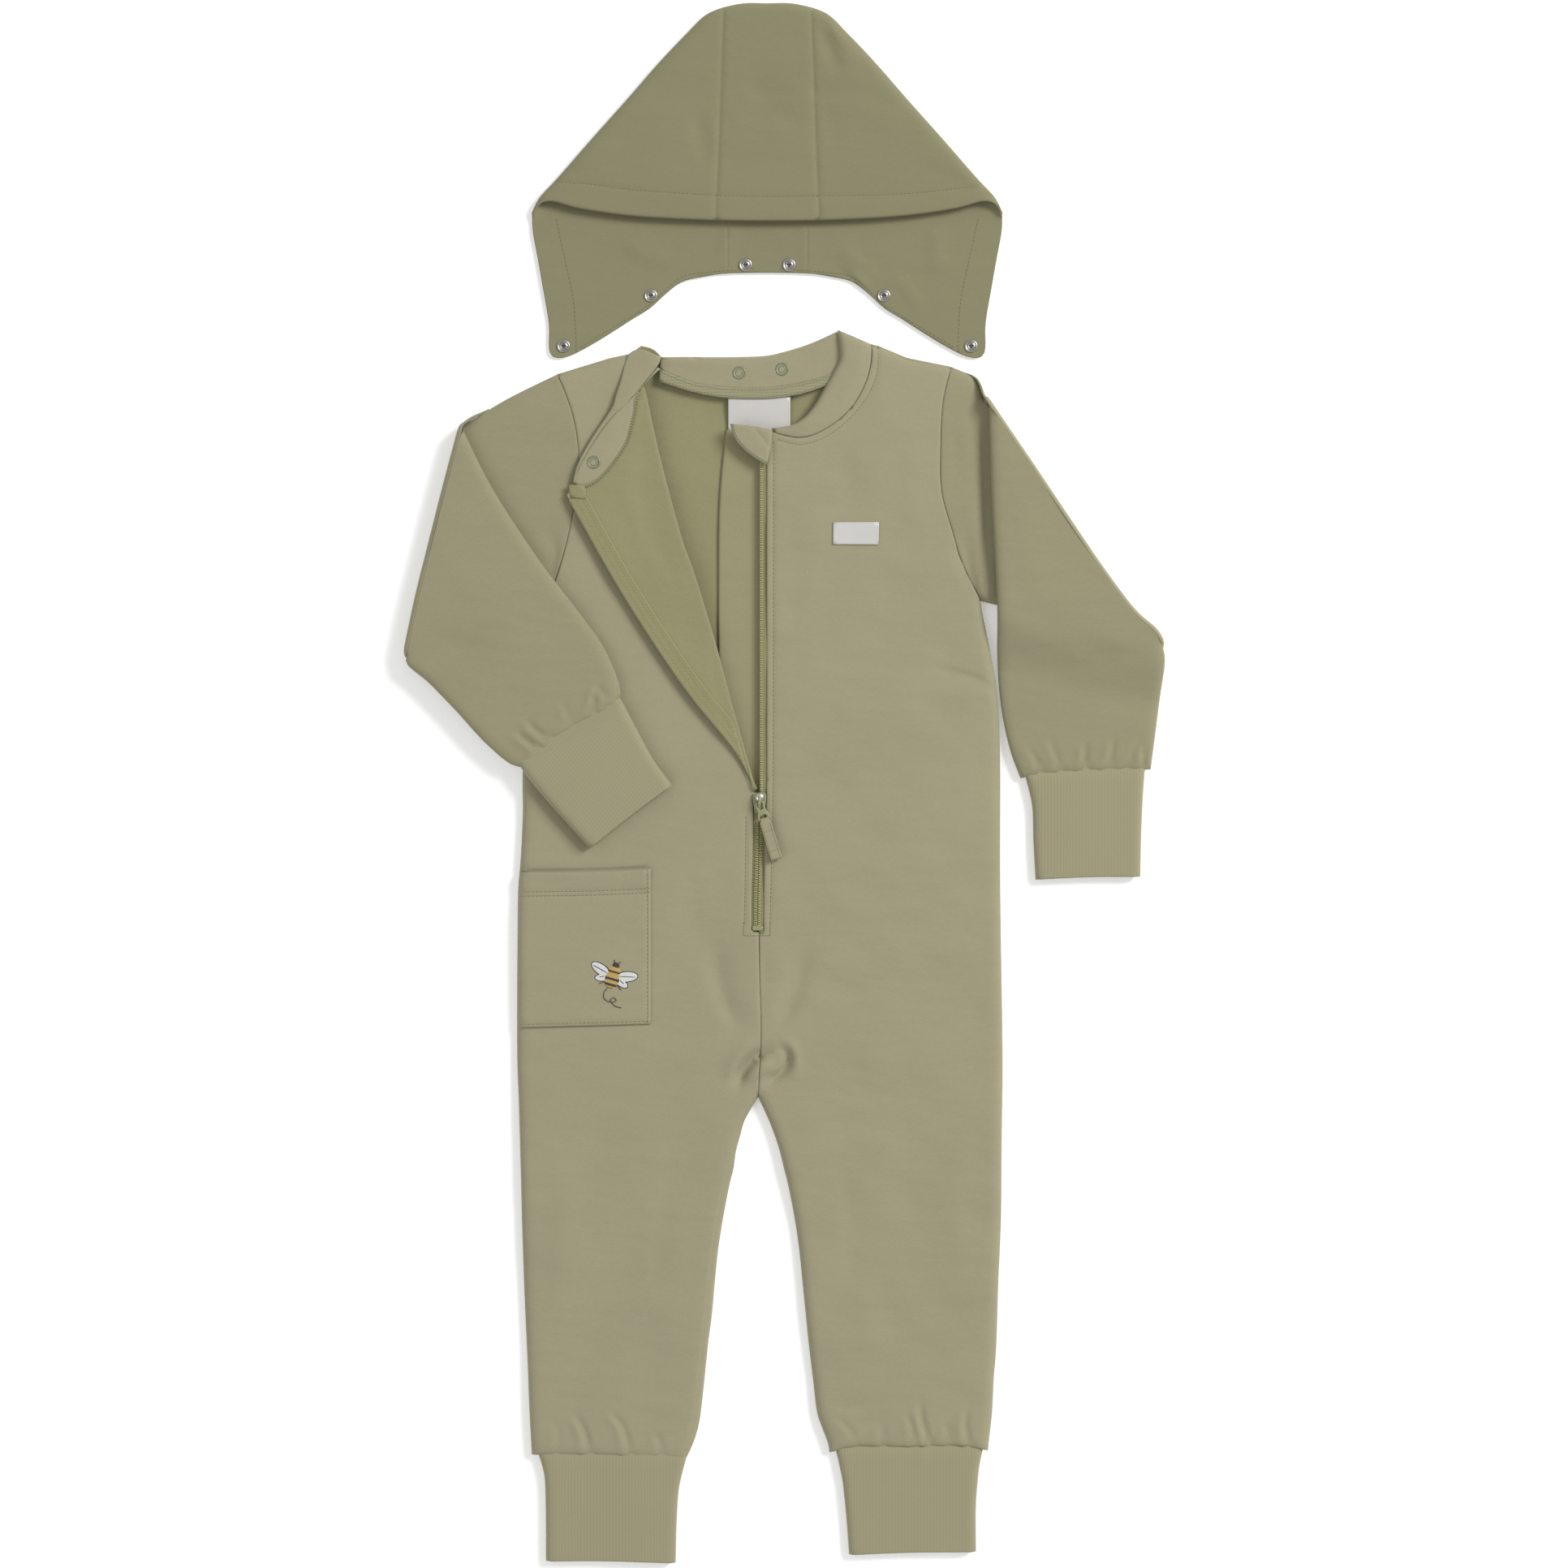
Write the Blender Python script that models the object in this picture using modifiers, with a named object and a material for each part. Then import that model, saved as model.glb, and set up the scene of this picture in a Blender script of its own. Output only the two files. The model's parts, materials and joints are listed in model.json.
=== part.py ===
"""A child's hooded jumpsuit laid flat, front up, as an assembly of separate sewn pieces.

The table is the XY plane, the head end is +Y and +Z is up. Outlines are in millimetres from the
centre-front zip line; every cloth layer is a flat solid between two heights above the table.
"""

import math

import bmesh
import bpy
from mathutils import Matrix, Vector

MM = 0.001
COLLECTION = "zip_jumpsuit_with_hood"

# Driving dimensions (mm)
X_SHIFT = -17.5           # moves the zip line so that the laid-out suit is centred on the origin
CLOTH = 1.6               # sweat fleece
GAP = 0.3                 # between neighbouring pieces
BODY_HEIGHT = 9.0         # front and back laid on each other, with the air between them
FRONT_LOW = BODY_HEIGHT - CLOTH
FOLD_Z = BODY_HEIGHT + GAP / 2    # what is folded over turns about a line at this height
ON_TOP = BODY_HEIGHT + GAP
WALL = 2.0                # side walls, where front and back meet in a seam

ZIP_EDGE = 5.2            # cloth edge on either side of the zip line
COIL_IN, COIL_OUT = 0.8, 3.2
TAPE_OUT = 14.0
TAPE_LOW, TAPE_HIGH = 6.3, 7.1
COIL_LOW, COIL_HIGH = 7.4, 8.9
ZIP_END_Y = -106.0
TAPE_END_Y = ZIP_END_Y - 4
COIL_END_Y = -100.9
ZIP_TOP_Y = 249.0
COIL_TOP_Y = 228.0
FLAP_START_Y = 8.0        # the turned-out front begins here

FACING_LOW = 2.6
COLLAR_INNER_LOW = 4.0    # front collar, inner band
BACK_INNER_LOW = 3.4      # back collar, inner band

LABEL_THICKNESS = 0.6
TAPE_THICKNESS = 0.8
FACING_THICKNESS = 1.0
STOP_LENGTH = 3.2

SNAP_RADIUS = 4.75
SNAP_POST = 2.2
SNAP_SEGMENTS = 16
COLLAR_SNAP_HEIGHT, HOOD_SNAP_HEIGHT = 1.2, 1.5

SLIDER_Y = -13.6
SLIDER_LENGTH = 15.0
SLIDER_WIDTH = 9.6
SLIDER_TOP = 10.5         # upper face of the slider's top plate
PULL_TURN = math.radians(17)
PULL_Z = 12.3             # height of the pull's pivot
PULL_WIDTH = 7.6
PULL_THICKNESS = 1.2

HOOD_X = 5.5              # the hood lies a little to the side of the zip line
ANKLE_Y = -476.0
CROWN_Y = 559.0
CUFF_END_LEFT, CUFF_END_RIGHT = -552.0, -559.0
SLEEVE_DROP_LINE = ((161, 128), (290, 97))    # past this line the lower left sleeve comes down to the table
SLEEVE_DROP_RUN = 45.0

# Fold lines, each from its lower or outer end to its upper or inner end
LAPEL_FOLD = ((-3.5, -5.2), (-83.5, 284.2))
LEFT_SLEEVE_FOLD = ((290.0, 110.0), (162.0, 277.0))
RIGHT_SLEEVE_FOLD = ((-255.5, 92.0), (-215.0, 256.0))

# Seam lines of the wearer's left half; the right half mirrors them
SHOULDER = [(84, 314), (137, 299)]
ARMHOLE = [(137, 299), (131, 273), (129, 240), (130, 209), (137, 181), (145, 158), (156, 134), (161, 128)]
SIDE = [(161, 128), (166, 102), (170, 70), (172, 4), (173, -78), (174, -165), (173, -252), (172, -330),
        (170, -400), (167, -440), (164, ANKLE_Y)]
INSEAM = [(50, ANKLE_Y), (45, -461), (38.5, -426), (34, -379), (31, -333), (27, -310), (22, -287),
          (16, -263), (8, -240), (GAP / 2, -224)]
FRONT_NECK = [(9, 252), (17, 249), (28, 248), (39, 250), (54, 259), (67, 271), (76, 288), (79, 301), (79, 315)]
BACK_NECK = [(0, 274.5), (22, 276), (47, 283), (62, 295), (75, 312), (84, 314)]
COLLAR_FRONT_EDGE = [(12, 257), (22, 258), (30, 262), (36, 267), (42, 275), (48, 285), (53, 296), (57, 306),
                     (56, 325)]


# ---------------------------------------------------------------- outlines

def rounded(points, steps=3):
    """Points along a smooth line through the given points."""
    ends = [points[0]] + list(points) + [points[-1]]
    line = []
    for a, b, c, d in zip(ends, ends[1:], ends[2:], ends[3:]):
        for step in range(steps):
            t = step / steps
            line.append(tuple(
                0.5 * (2 * q + (r - p) * t + (2 * p - 5 * q + 4 * r - s) * t ** 2
                       + (3 * q - p - 3 * r + s) * t ** 3)
                for p, q, r, s in zip(a, b, c, d)))
    return line + [tuple(points[-1])]


def mirrored(points, centre=0.0):
    return [(2 * centre - x, y) for x, y in points]


def offset(points, distance):
    """The same line moved sideways, to the left of its direction."""
    moved = []
    for i, (x, y) in enumerate(points):
        ax, ay = points[max(i - 1, 0)]
        bx, by = points[min(i + 1, len(points) - 1)]
        length = math.hypot(bx - ax, by - ay)
        moved.append((x - (by - ay) / length * distance, y + (bx - ax) / length * distance))
    return moved


def folded(points, fold):
    """The points turned over a fold line."""
    (ax, ay), (bx, by) = fold
    length = math.hypot(bx - ax, by - ay)
    nx, ny = (by - ay) / length, (ax - bx) / length
    return [(x - 2 * ((x - ax) * nx + (y - ay) * ny) * nx, y - 2 * ((x - ax) * nx + (y - ay) * ny) * ny)
            for x, y in points]


def fold_x(y, fold=LAPEL_FOLD):
    (ax, ay), (bx, by) = fold
    return ax + (y - ay) * (bx - ax) / (by - ay)


def strip(x0, x1, y0, y1):
    return [(x0, y0), (x1, y0), (x1, y1), (x0, y1)]


# ---------------------------------------------------------------- solids

def empty_scene():
    for item in list(bpy.data.objects):
        bpy.data.objects.remove(item)


def collection(name):
    made = bpy.data.collections.new(name)
    bpy.context.scene.collection.children.link(made)
    return made


def material(name, colour, roughness, metallic=0.0):
    made = bpy.data.materials.new(name)
    made.use_nodes = True
    shader = made.node_tree.nodes["Principled BSDF"]
    shader.inputs["Base Color"].default_value = (*colour, 1)
    shader.inputs["Roughness"].default_value = roughness
    shader.inputs["Metallic"].default_value = metallic
    made.diffuse_color = (*colour, 1)
    return made


def add_object(name, mesh, finish, group):
    made = bpy.data.objects.new(name, mesh)
    group.objects.link(made)
    if finish:
        mesh.materials.clear()
        mesh.materials.append(finish)
    return made


def add_hidden(name, mesh):
    """An object that only cuts or joins, and is never shown."""
    made = add_object(name, mesh, None, CUTTERS)
    made.hide_render = True
    made.display_type = "WIRE"
    return made


def flat_mesh(name, outline, low, high):
    """A filled 2D outline, extruded between two heights, as a closed mesh."""
    curve = bpy.data.curves.new(name, "CURVE")
    curve.dimensions = "2D"
    curve.fill_mode = "BOTH"
    curve.extrude = (high - low) / 2 * MM
    spline = curve.splines.new("POLY")
    spline.points.add(len(outline) - 1)
    for point, (x, y) in zip(spline.points, outline):
        point.co = ((x + X_SHIFT) * MM, y * MM, 0, 1)
    spline.use_cyclic_u = True
    guide = bpy.data.objects.new(name, curve)
    guide.location.z = (low + high) / 2 * MM
    bpy.context.scene.collection.objects.link(guide)
    bpy.context.view_layer.update()
    mesh = bpy.data.meshes.new_from_object(guide.evaluated_get(bpy.context.evaluated_depsgraph_get()))
    mesh.transform(guide.matrix_world)
    work = bmesh.new()
    work.from_mesh(mesh)
    bmesh.ops.remove_doubles(work, verts=work.verts, dist=1e-6)
    bmesh.ops.recalc_face_normals(work, faces=work.faces)
    work.to_mesh(mesh)
    work.free()
    bpy.data.objects.remove(guide)
    bpy.data.curves.remove(curve)
    mesh.name = name
    return mesh


def flat_piece(name, outline, low, high, finish):
    return add_object(name, flat_mesh(name, outline, low, high), finish, PARTS)


def combine(piece, name, mesh, operation):
    boolean = piece.modifiers.new(name, "BOOLEAN")
    boolean.operation = operation
    boolean.solver = "EXACT"
    boolean.object = add_hidden(name, mesh)


def cut(piece, name, mesh):
    """Takes a cutter's mesh out of a piece."""
    combine(piece, name, mesh, "DIFFERENCE")


def cut_flat(piece, outline, low, high):
    name = f"cut_{piece.name}_{len(piece.modifiers)}"
    cut(piece, name, flat_mesh(name, outline, low, high))


def turned_mesh(name, profile, x, y):
    """A solid turned about the upright line through (x, y), from its radius and height pairs, top to bottom."""
    mesh = bpy.data.meshes.new(name)
    points = [(radius * MM, 0, z * MM) for radius, z in profile]
    mesh.from_pydata(points, [(i, i + 1) for i in range(len(points) - 1)], [])
    guide = bpy.data.objects.new(name, mesh)
    bpy.context.scene.collection.objects.link(guide)
    screw = guide.modifiers.new("turn", "SCREW")
    screw.steps = screw.render_steps = SNAP_SEGMENTS
    screw.use_merge_vertices = True
    screw.merge_threshold = 1e-6
    screw.use_normal_calculate = True
    bpy.context.view_layer.update()
    turned = bpy.data.meshes.new_from_object(guide.evaluated_get(bpy.context.evaluated_depsgraph_get()))
    turned.transform(Matrix.Translation(((x + X_SHIFT) * MM, y * MM, 0)))
    work = bmesh.new()
    work.from_mesh(turned)
    bmesh.ops.remove_doubles(work, verts=work.verts, dist=1e-6)
    bmesh.ops.recalc_face_normals(work, faces=work.faces)
    work.to_mesh(turned)
    work.free()
    bpy.data.objects.remove(guide)
    return turned


def block(name, size, centre, finish=None):
    """A box with its size and centre in millimetres, the centre measured from the zip line."""
    mesh = bpy.data.meshes.new(name)
    work = bmesh.new()
    bmesh.ops.create_cube(work, size=1)
    bmesh.ops.scale(work, vec=Vector(size) * MM, verts=work.verts)
    bmesh.ops.translate(work, vec=Vector((centre[0] + X_SHIFT, centre[1], centre[2])) * MM, verts=work.verts)
    work.to_mesh(mesh)
    work.free()
    return add_object(name, mesh, finish, PARTS) if finish else mesh


def join_solid(piece, mesh):
    """Adds a mesh to a piece as one solid."""
    combine(piece, f"join_{piece.name}_{len(piece.modifiers)}", mesh, "UNION")


def drape(piece, line, step, run, slices=6):
    """Bends a flat piece down by step over a run beyond a line, where nothing lies under it."""
    bpy.context.view_layer.update()
    mesh = bpy.data.meshes.new_from_object(piece.evaluated_get(bpy.context.evaluated_depsgraph_get()))
    for modifier in list(piece.modifiers):
        piece.modifiers.remove(modifier)
    (ax, ay), (bx, by) = line
    along = Vector((bx - ax, by - ay, 0)).normalized()
    away = Vector((along.y, -along.x, 0))
    origin = Vector((ax + X_SHIFT, ay, 0)) * MM
    work = bmesh.new()
    work.from_mesh(mesh)
    for i in range(slices + 1):
        at = origin + away * (run * MM * i / slices)
        geometry = work.verts[:] + work.edges[:] + work.faces[:]
        bmesh.ops.bisect_plane(work, geom=geometry, plane_co=at, plane_no=away)
    for vert in work.verts:
        t = min(max((vert.co - origin).dot(away) / (run * MM), 0), 1)
        vert.co.z -= step * MM * t * t * (3 - 2 * t)
    bmesh.ops.triangulate(work, faces=work.faces)
    work.to_mesh(mesh)
    work.free()
    piece.data = mesh


def hang_on(pieces, name, at, direction=None):
    """Parents moving pieces to an empty that stands on their joint's axis."""
    axis = bpy.data.objects.new(name, None)
    axis.location = Vector((at[0] + X_SHIFT, at[1], at[2])) * MM
    if direction:
        axis.rotation_euler.z = math.atan2(direction[1], direction[0])
    axis.empty_display_size = 0.02
    PARTS.objects.link(axis)
    bpy.context.view_layer.update()
    for piece in pieces:
        piece.parent = axis
        piece.matrix_parent_inverse = axis.matrix_world.inverted()


# ---------------------------------------------------------------- snaps

def snap_profile(low, ring_below, height):
    """A riveted snap through a cloth layer: a flat ring sunk in one face, a post and a socket or stud."""
    sunk, post_end = 0.5, CLOTH + GAP
    shoulder = SNAP_RADIUS - 1.2
    profile = [(0, post_end + height), (shoulder, post_end + height), (SNAP_RADIUS, post_end + height * 0.5),
               (SNAP_RADIUS, post_end), (SNAP_POST, post_end), (SNAP_POST, sunk), (SNAP_RADIUS, sunk),
               (SNAP_RADIUS, 0), (0, 0)]
    if ring_below:
        return [(radius, low + z) for radius, z in profile]
    return [(radius, low + CLOTH - z) for radius, z in reversed(profile)]


def snap_hole(low, ring_below):
    """The stepped hole that a snap sits in."""
    wide, narrow, depth, past = SNAP_RADIUS + GAP, SNAP_POST + GAP, 0.8, 0.6
    profile = [(0, CLOTH + past), (narrow, CLOTH + past), (narrow, depth), (wide, depth), (wide, -past),
               (0, -past)]
    if ring_below:
        return [(radius, low + z) for radius, z in profile]
    return [(radius, low + CLOTH - z) for radius, z in reversed(profile)]


def add_snap(name, cloth_piece, x, y, low, ring_below, height):
    cut(cloth_piece, f"hole_{name}", turned_mesh(f"hole_{name}", snap_hole(low, ring_below), x, y))
    return add_object(name, turned_mesh(name, snap_profile(low, ring_below, height), x, y), METAL, PARTS)


# ---------------------------------------------------------------- the suit

def back_panels():
    neck = rounded(BACK_NECK)
    half = ([(GAP / 2, 274.5)] + neck[1:] + SHOULDER[1:] + rounded(ARMHOLE)[1:] + rounded(SIDE, 2)[1:]
            + rounded(INSEAM, 2))
    flat_piece("back_panel_left", half, 0, CLOTH, FLEECE)
    flat_piece("back_panel_right", mirrored(half), 0, CLOTH, FLEECE)


def front_cavity():
    """The room between front and back inside the side, shoulder and inside-leg seams."""
    shoulder = [(70, 330), (84, 314 - WALL), (137, 299 - WALL)]
    armhole = offset(ARMHOLE, 6)[:-1]
    side = offset(rounded(SIDE, 2), -WALL)
    inseam = offset(rounded(INSEAM, 2), -WALL)
    return (shoulder + [(150, 299 - WALL)] + armhole[1:] + side + [(side[-1][0], ANKLE_Y - 5)]
            + [(inseam[0][0], ANKLE_Y - 5)] + inseam + [(-6, -224 + WALL), (-6, 330)])


def front_panels():
    neck = rounded(FRONT_NECK)
    outline = (neck + [(84, 314)] + SHOULDER[1:] + rounded(ARMHOLE)[1:] + rounded(SIDE, 2)[1:]
               + rounded(INSEAM, 2) + [(GAP / 2, ZIP_END_Y), (ZIP_EDGE, ZIP_END_Y), (ZIP_EDGE, 252)])
    left = flat_piece("front_panel_left", outline, CLOTH + GAP, BODY_HEIGHT, FLEECE)
    cut_flat(left, front_cavity(), CLOTH, FRONT_LOW)

    fold_top = 312.0
    outline = (mirrored(SHOULDER[1:] + rounded(ARMHOLE)[1:] + rounded(SIDE, 2)[1:] + rounded(INSEAM, 2))
               + [(-GAP / 2, ZIP_END_Y), (-ZIP_EDGE, ZIP_END_Y), (-ZIP_EDGE, FLAP_START_Y - GAP),
                  (fold_x(FLAP_START_Y) - GAP, FLAP_START_Y - GAP), (fold_x(fold_top) - GAP, fold_top)])
    right = flat_piece("front_panel_right", outline, CLOTH + GAP, BODY_HEIGHT, FLEECE)
    cut_flat(right, mirrored(front_cavity()), CLOTH, FRONT_LOW)


def collars():
    back_edge = [(-69, 307), (-38, 307), (-3, 305.5), (28, 309), (46, 318)]
    back_seam = [(46, 284), (22, 277.5), (0, 276), (-22, 277.5), (-46, 284), (-61, 296.5), (-69, 306)]
    back = rounded(back_edge) + rounded(back_seam)
    flat_piece("collar_back_outer", back, 0, CLOTH, FLEECE)
    inner = flat_piece("collar_back_inner", back, BACK_INNER_LOW, BACK_INNER_LOW + CLOTH, FLEECE)
    for side, x in (("right", -14.5), ("left", 16.2)):
        add_snap(f"collar_snap_back_{side}", inner, x, 293.5, BACK_INNER_LOW, False, COLLAR_SNAP_HEIGHT)

    seam = offset(rounded(FRONT_NECK), GAP)
    front = seam + [(78, 318), (66, 322)] + rounded(COLLAR_FRONT_EDGE[::-1])
    flat_piece("collar_left_outer", front, FRONT_LOW, BODY_HEIGHT, FLEECE)
    inner = flat_piece("collar_left_inner", front, COLLAR_INNER_LOW, COLLAR_INNER_LOW + CLOTH, FLEECE)
    for place, (x, y) in (("side", (67, 306)), ("front", (38, 259.5))):
        add_snap(f"collar_snap_{place}_left", inner, x, y, COLLAR_INNER_LOW, True, COLLAR_SNAP_HEIGHT)

    tape_low = BACK_INNER_LOW + CLOTH + GAP
    band = rounded([(-24, 273), (0, 272), (24, 274), (40, 277.5)])
    band += rounded([(40, 284), (24, 280.5), (0, 278.5), (-24, 279.5)])
    flat_piece("neck_tape", band, tape_low, tape_low + TAPE_THICKNESS, TAPE)
    label_low = CLOTH + GAP
    flat_piece("size_label", strip(-22.6, 22.6, 253, 280), label_low, label_low + LABEL_THICKNESS, LABEL)


def front_trims():
    facing = rounded([(-25, 247), (-28.5, 206), (-29.5, 140), (-29, 76), (-26, 0), (-20, ZIP_END_Y)])
    facing += [(13, ZIP_END_Y), (13, 247)]
    flat_piece("placket_facing", facing, FACING_LOW, FACING_LOW + FACING_THICKNESS, FLEECE)
    flat_piece("chin_guard", [(-19, 257), (8, 252.5), (6, 227.5), (0, 229.5), (-13, 242.5), (-18, 252)],
               ON_TOP, ON_TOP + CLOTH, FLEECE)
    flat_piece("chest_label", strip(52.8, 85.3, 171, 187), ON_TOP, ON_TOP + LABEL_THICKNESS, LABEL)
    flat_piece("thigh_pocket", [(-171.5, -62.5), (-171.5, -174), (-77.5, -171.5), (-78.5, -60)],
               ON_TOP, ON_TOP + CLOTH, FLEECE)


def zip_tapes():
    flat_piece("zip_tape_left", strip(COIL_IN, TAPE_OUT, TAPE_END_Y, ZIP_TOP_Y), TAPE_LOW, TAPE_HIGH, TAPE)
    flat_piece("zip_coil_left", strip(COIL_IN, COIL_OUT, COIL_END_Y, COIL_TOP_Y), COIL_LOW, COIL_HIGH, COIL)
    lower_end = FLAP_START_Y - GAP
    flat_piece("zip_tape_right_lower", strip(-TAPE_OUT, -COIL_IN, TAPE_END_Y, lower_end),
               TAPE_LOW, TAPE_HIGH, TAPE)
    flat_piece("zip_coil_right_lower", strip(-COIL_OUT, -COIL_IN, COIL_END_Y, lower_end),
               COIL_LOW, COIL_HIGH, COIL)
    flat_piece("zip_bottom_stop", strip(-COIL_OUT, COIL_OUT, COIL_END_Y - GAP - STOP_LENGTH, COIL_END_Y - GAP),
               COIL_LOW, BODY_HEIGHT, METAL)
    flat_piece("zip_top_stop_left", strip(COIL_IN, COIL_OUT, COIL_TOP_Y + GAP, COIL_TOP_Y + GAP + STOP_LENGTH),
               COIL_LOW, BODY_HEIGHT, METAL)


def turned_out_front():
    """The wearer's right front above the belly, turned out over the chest like a lapel."""
    def laid(name, outline, low, high, finish):
        """A piece given where it lies with the zip closed, turned over the fold line."""
        turned = folded(outline, LAPEL_FOLD)
        return flat_piece(name, turned, 2 * FOLD_Z - high, 2 * FOLD_Z - low, finish)

    near, top_y = 0.9, 312
    cloth = ([(-ZIP_EDGE, FLAP_START_Y), (-ZIP_EDGE, 252)] + mirrored(rounded(FRONT_NECK)) + [(-84, 314)]
             + [(fold_x(top_y) + near, top_y), (fold_x(FLAP_START_Y) + near, FLAP_START_Y)])
    inner_top = 2 * FOLD_Z - COLLAR_INNER_LOW
    pieces = [
        laid("front_flap_right", cloth, FRONT_LOW, BODY_HEIGHT, FLEECE),
        laid("zip_tape_right_upper", [(-COIL_IN, FLAP_START_Y), (-COIL_IN, ZIP_TOP_Y), (-TAPE_OUT, ZIP_TOP_Y),
                                      (-TAPE_OUT, 34), (-5, FLAP_START_Y)], TAPE_LOW, TAPE_HIGH, TAPE),
        laid("zip_coil_right_upper", strip(-COIL_OUT, -COIL_IN, FLAP_START_Y, COIL_TOP_Y),
             COIL_LOW, COIL_HIGH, COIL),
        laid("zip_top_stop_right", strip(-COIL_OUT, -COIL_IN, COIL_TOP_Y + GAP, COIL_TOP_Y + GAP + STOP_LENGTH),
             COIL_LOW, BODY_HEIGHT, METAL),
        laid("zip_tape_end_patch", strip(-12, -COIL_IN, 238, ZIP_TOP_Y),
             TAPE_LOW - GAP - TAPE_THICKNESS, TAPE_LOW - GAP, TAPE),
    ]
    seam = mirrored(offset(rounded(FRONT_NECK), GAP))
    free_edge = [(-74, 303), (-67, 296), (-53, 277), (-39, 271.5), (-26, 265.5), (-12, 262.5)]
    outer = [point for point in seam if point[1] < 301] + free_edge
    pieces.append(laid("collar_right_outer", outer, FRONT_LOW, BODY_HEIGHT, FLEECE))
    inner_outline = ([point for point in seam if point[1] < 262] + free_edge[2:])
    inner = laid("collar_right_inner", inner_outline, COLLAR_INNER_LOW, COLLAR_INNER_LOW + CLOTH, FLEECE)
    (x, y), = folded([(-21, 256.5)], LAPEL_FOLD)
    snap = add_snap("collar_snap_front_right", inner, x, y, inner_top - CLOTH, False, COLLAR_SNAP_HEIGHT)
    return pieces + [inner, snap]


def sleeve_tube(name, outer, cavity, low, finish):
    piece = flat_piece(name, outer, low, low + BODY_HEIGHT, finish)
    cut_flat(piece, cavity, low + CLOTH, low + BODY_HEIGHT - CLOTH)
    return piece


def left_sleeve():
    """The wearer's left sleeve: out to the elbow, folded there, and down over itself."""
    armhole = offset(rounded(ARMHOLE), GAP)
    upper = armhole + [(290, 97), (290, 109.5), (163, 276), (155, 290)]
    room = [(120, 296), (126, 240), (126, 209), (132, 181), (141, 156), (150, 133.5), (161.5, 130.5),
            (300, 99.5), (300, 120), (200, 245), (163, 273), (153, 287), (137, 296)]
    sleeve_tube("sleeve_left_upper", upper, room, 0, FLEECE)

    inner_edge = [(164.5, 268), (165, 215), (169.5, 133), (170.5, 92), (174, 56), (180, 25), (187, 4.5)]
    outer_edge = [(280, 10.5), (284, 41), (289.5, 87), (290.5, 100)]
    lower = rounded(inner_edge) + rounded(outer_edge) + [(289, 111), (163, 275)]
    room = ([(167, 264)] + offset(rounded(inner_edge), WALL)[2:] + [(188, -6), (278, -4)]
            + offset(rounded(outer_edge), WALL) + [(296, 108), (163, 285), (165, 262)])
    sleeve = sleeve_tube("sleeve_left_lower", lower, room, ON_TOP, FLEECE)
    drape(sleeve, SLEEVE_DROP_LINE, ON_TOP, SLEEVE_DROP_RUN)

    hem = 3.0
    cuff = [(190.5, hem), (195, -15), (197.5, -69), (272.5, -66), (275, 7)]
    room = [(192.7, 12), (197, -15), (199.5, -75), (270.5, -72), (273, 12)]
    return [sleeve, sleeve_tube("wrist_cuff_left", cuff, room, 0, RIB)]


def right_sleeve():
    """The wearer's right sleeve, folded at the elbow and laid back across the chest."""
    armhole = mirrored(offset(rounded(ARMHOLE), GAP))
    upper = armhole + [(-255, 92), (-215, 256), (-145, 296)]
    room = [(-120, 294), (-126, 240), (-126, 209), (-132, 181), (-141, 156), (-150, 133.5), (-161.5, 130.5),
            (-265, 91), (-265, 105), (-222, 260), (-214, 254), (-146, 293.5)]
    sleeve_tube("sleeve_right_upper", upper, room, 0, FLEECE)

    lower_edge = [(-255.5, 91), (-252, 85), (-237, 73.5), (-214.5, 50), (-193, 27), (-173, 13)]
    upper_edge = [(-99.5, 60.5), (-101, 75), (-111, 97), (-128, 121), (-157, 160), (-214.5, 250)]
    lower = rounded(lower_edge) + rounded(upper_edge)
    room = (offset(rounded(lower_edge), WALL)[1:] + [(-176, 2), (-90, 54)]
            + offset(rounded(upper_edge), WALL)[1:] + [(-232, 258), (-268, 98)])
    sleeve = sleeve_tube("sleeve_right_lower", lower, room, ON_TOP, FLEECE)
    cuff = [(-170, 12.4), (-120.6, -46.4), (-62, -1), (-100.2, 55.8)]
    room = offset_closed(cuff, WALL, open_sides=(1, 3))
    return [sleeve, sleeve_tube("wrist_cuff_right", cuff, room, ON_TOP, RIB)]


def offset_closed(outline, inset, open_sides, past=8.0):
    """A convex outline moved in by inset on each side, and out by past on its open sides."""
    count = len(outline)
    turn = sum(ax * by - bx * ay for (ax, ay), (bx, by) in zip(outline, outline[1:] + outline[:1]))
    facing = 1 if turn > 0 else -1
    lines = []
    for i in range(count):
        (ax, ay), (bx, by) = outline[i], outline[(i + 1) % count]
        length = math.hypot(bx - ax, by - ay)
        nx, ny = -(by - ay) / length * facing, (bx - ax) / length * facing
        move = -past if i in open_sides else inset
        lines.append((nx, ny, nx * ax + ny * ay + move))
    corners = []
    for i in range(count):
        (a, b, p), (c, d, q) = lines[i - 1], lines[i]
        scale = a * d - b * c
        corners.append(((p * d - b * q) / scale, (a * q - p * c) / scale))
    return corners


def ankle_cuffs():
    top = ANKLE_Y - GAP
    left = [(53, top), (58.5, -497), (63, -535), (64, CUFF_END_LEFT), (155, CUFF_END_LEFT), (155, -520),
            (160, top)]
    right = [(x, CUFF_END_RIGHT if y == CUFF_END_LEFT else y) for x, y in left]
    past = 5
    for name, outline, end in (("ankle_cuff_left", left, CUFF_END_LEFT),
                               ("ankle_cuff_right", right, CUFF_END_RIGHT)):
        room = [(55.3, top + past), (60.7, -497), (65.2, -535), (66.2, end - past), (153, end - past),
                (153, -520), (157.7, top + past)]
        if outline is right:
            outline, room = mirrored(outline), mirrored(room)
        sleeve_tube(name, outline, room, 0, RIB)


# ---------------------------------------------------------------- the slider

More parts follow.
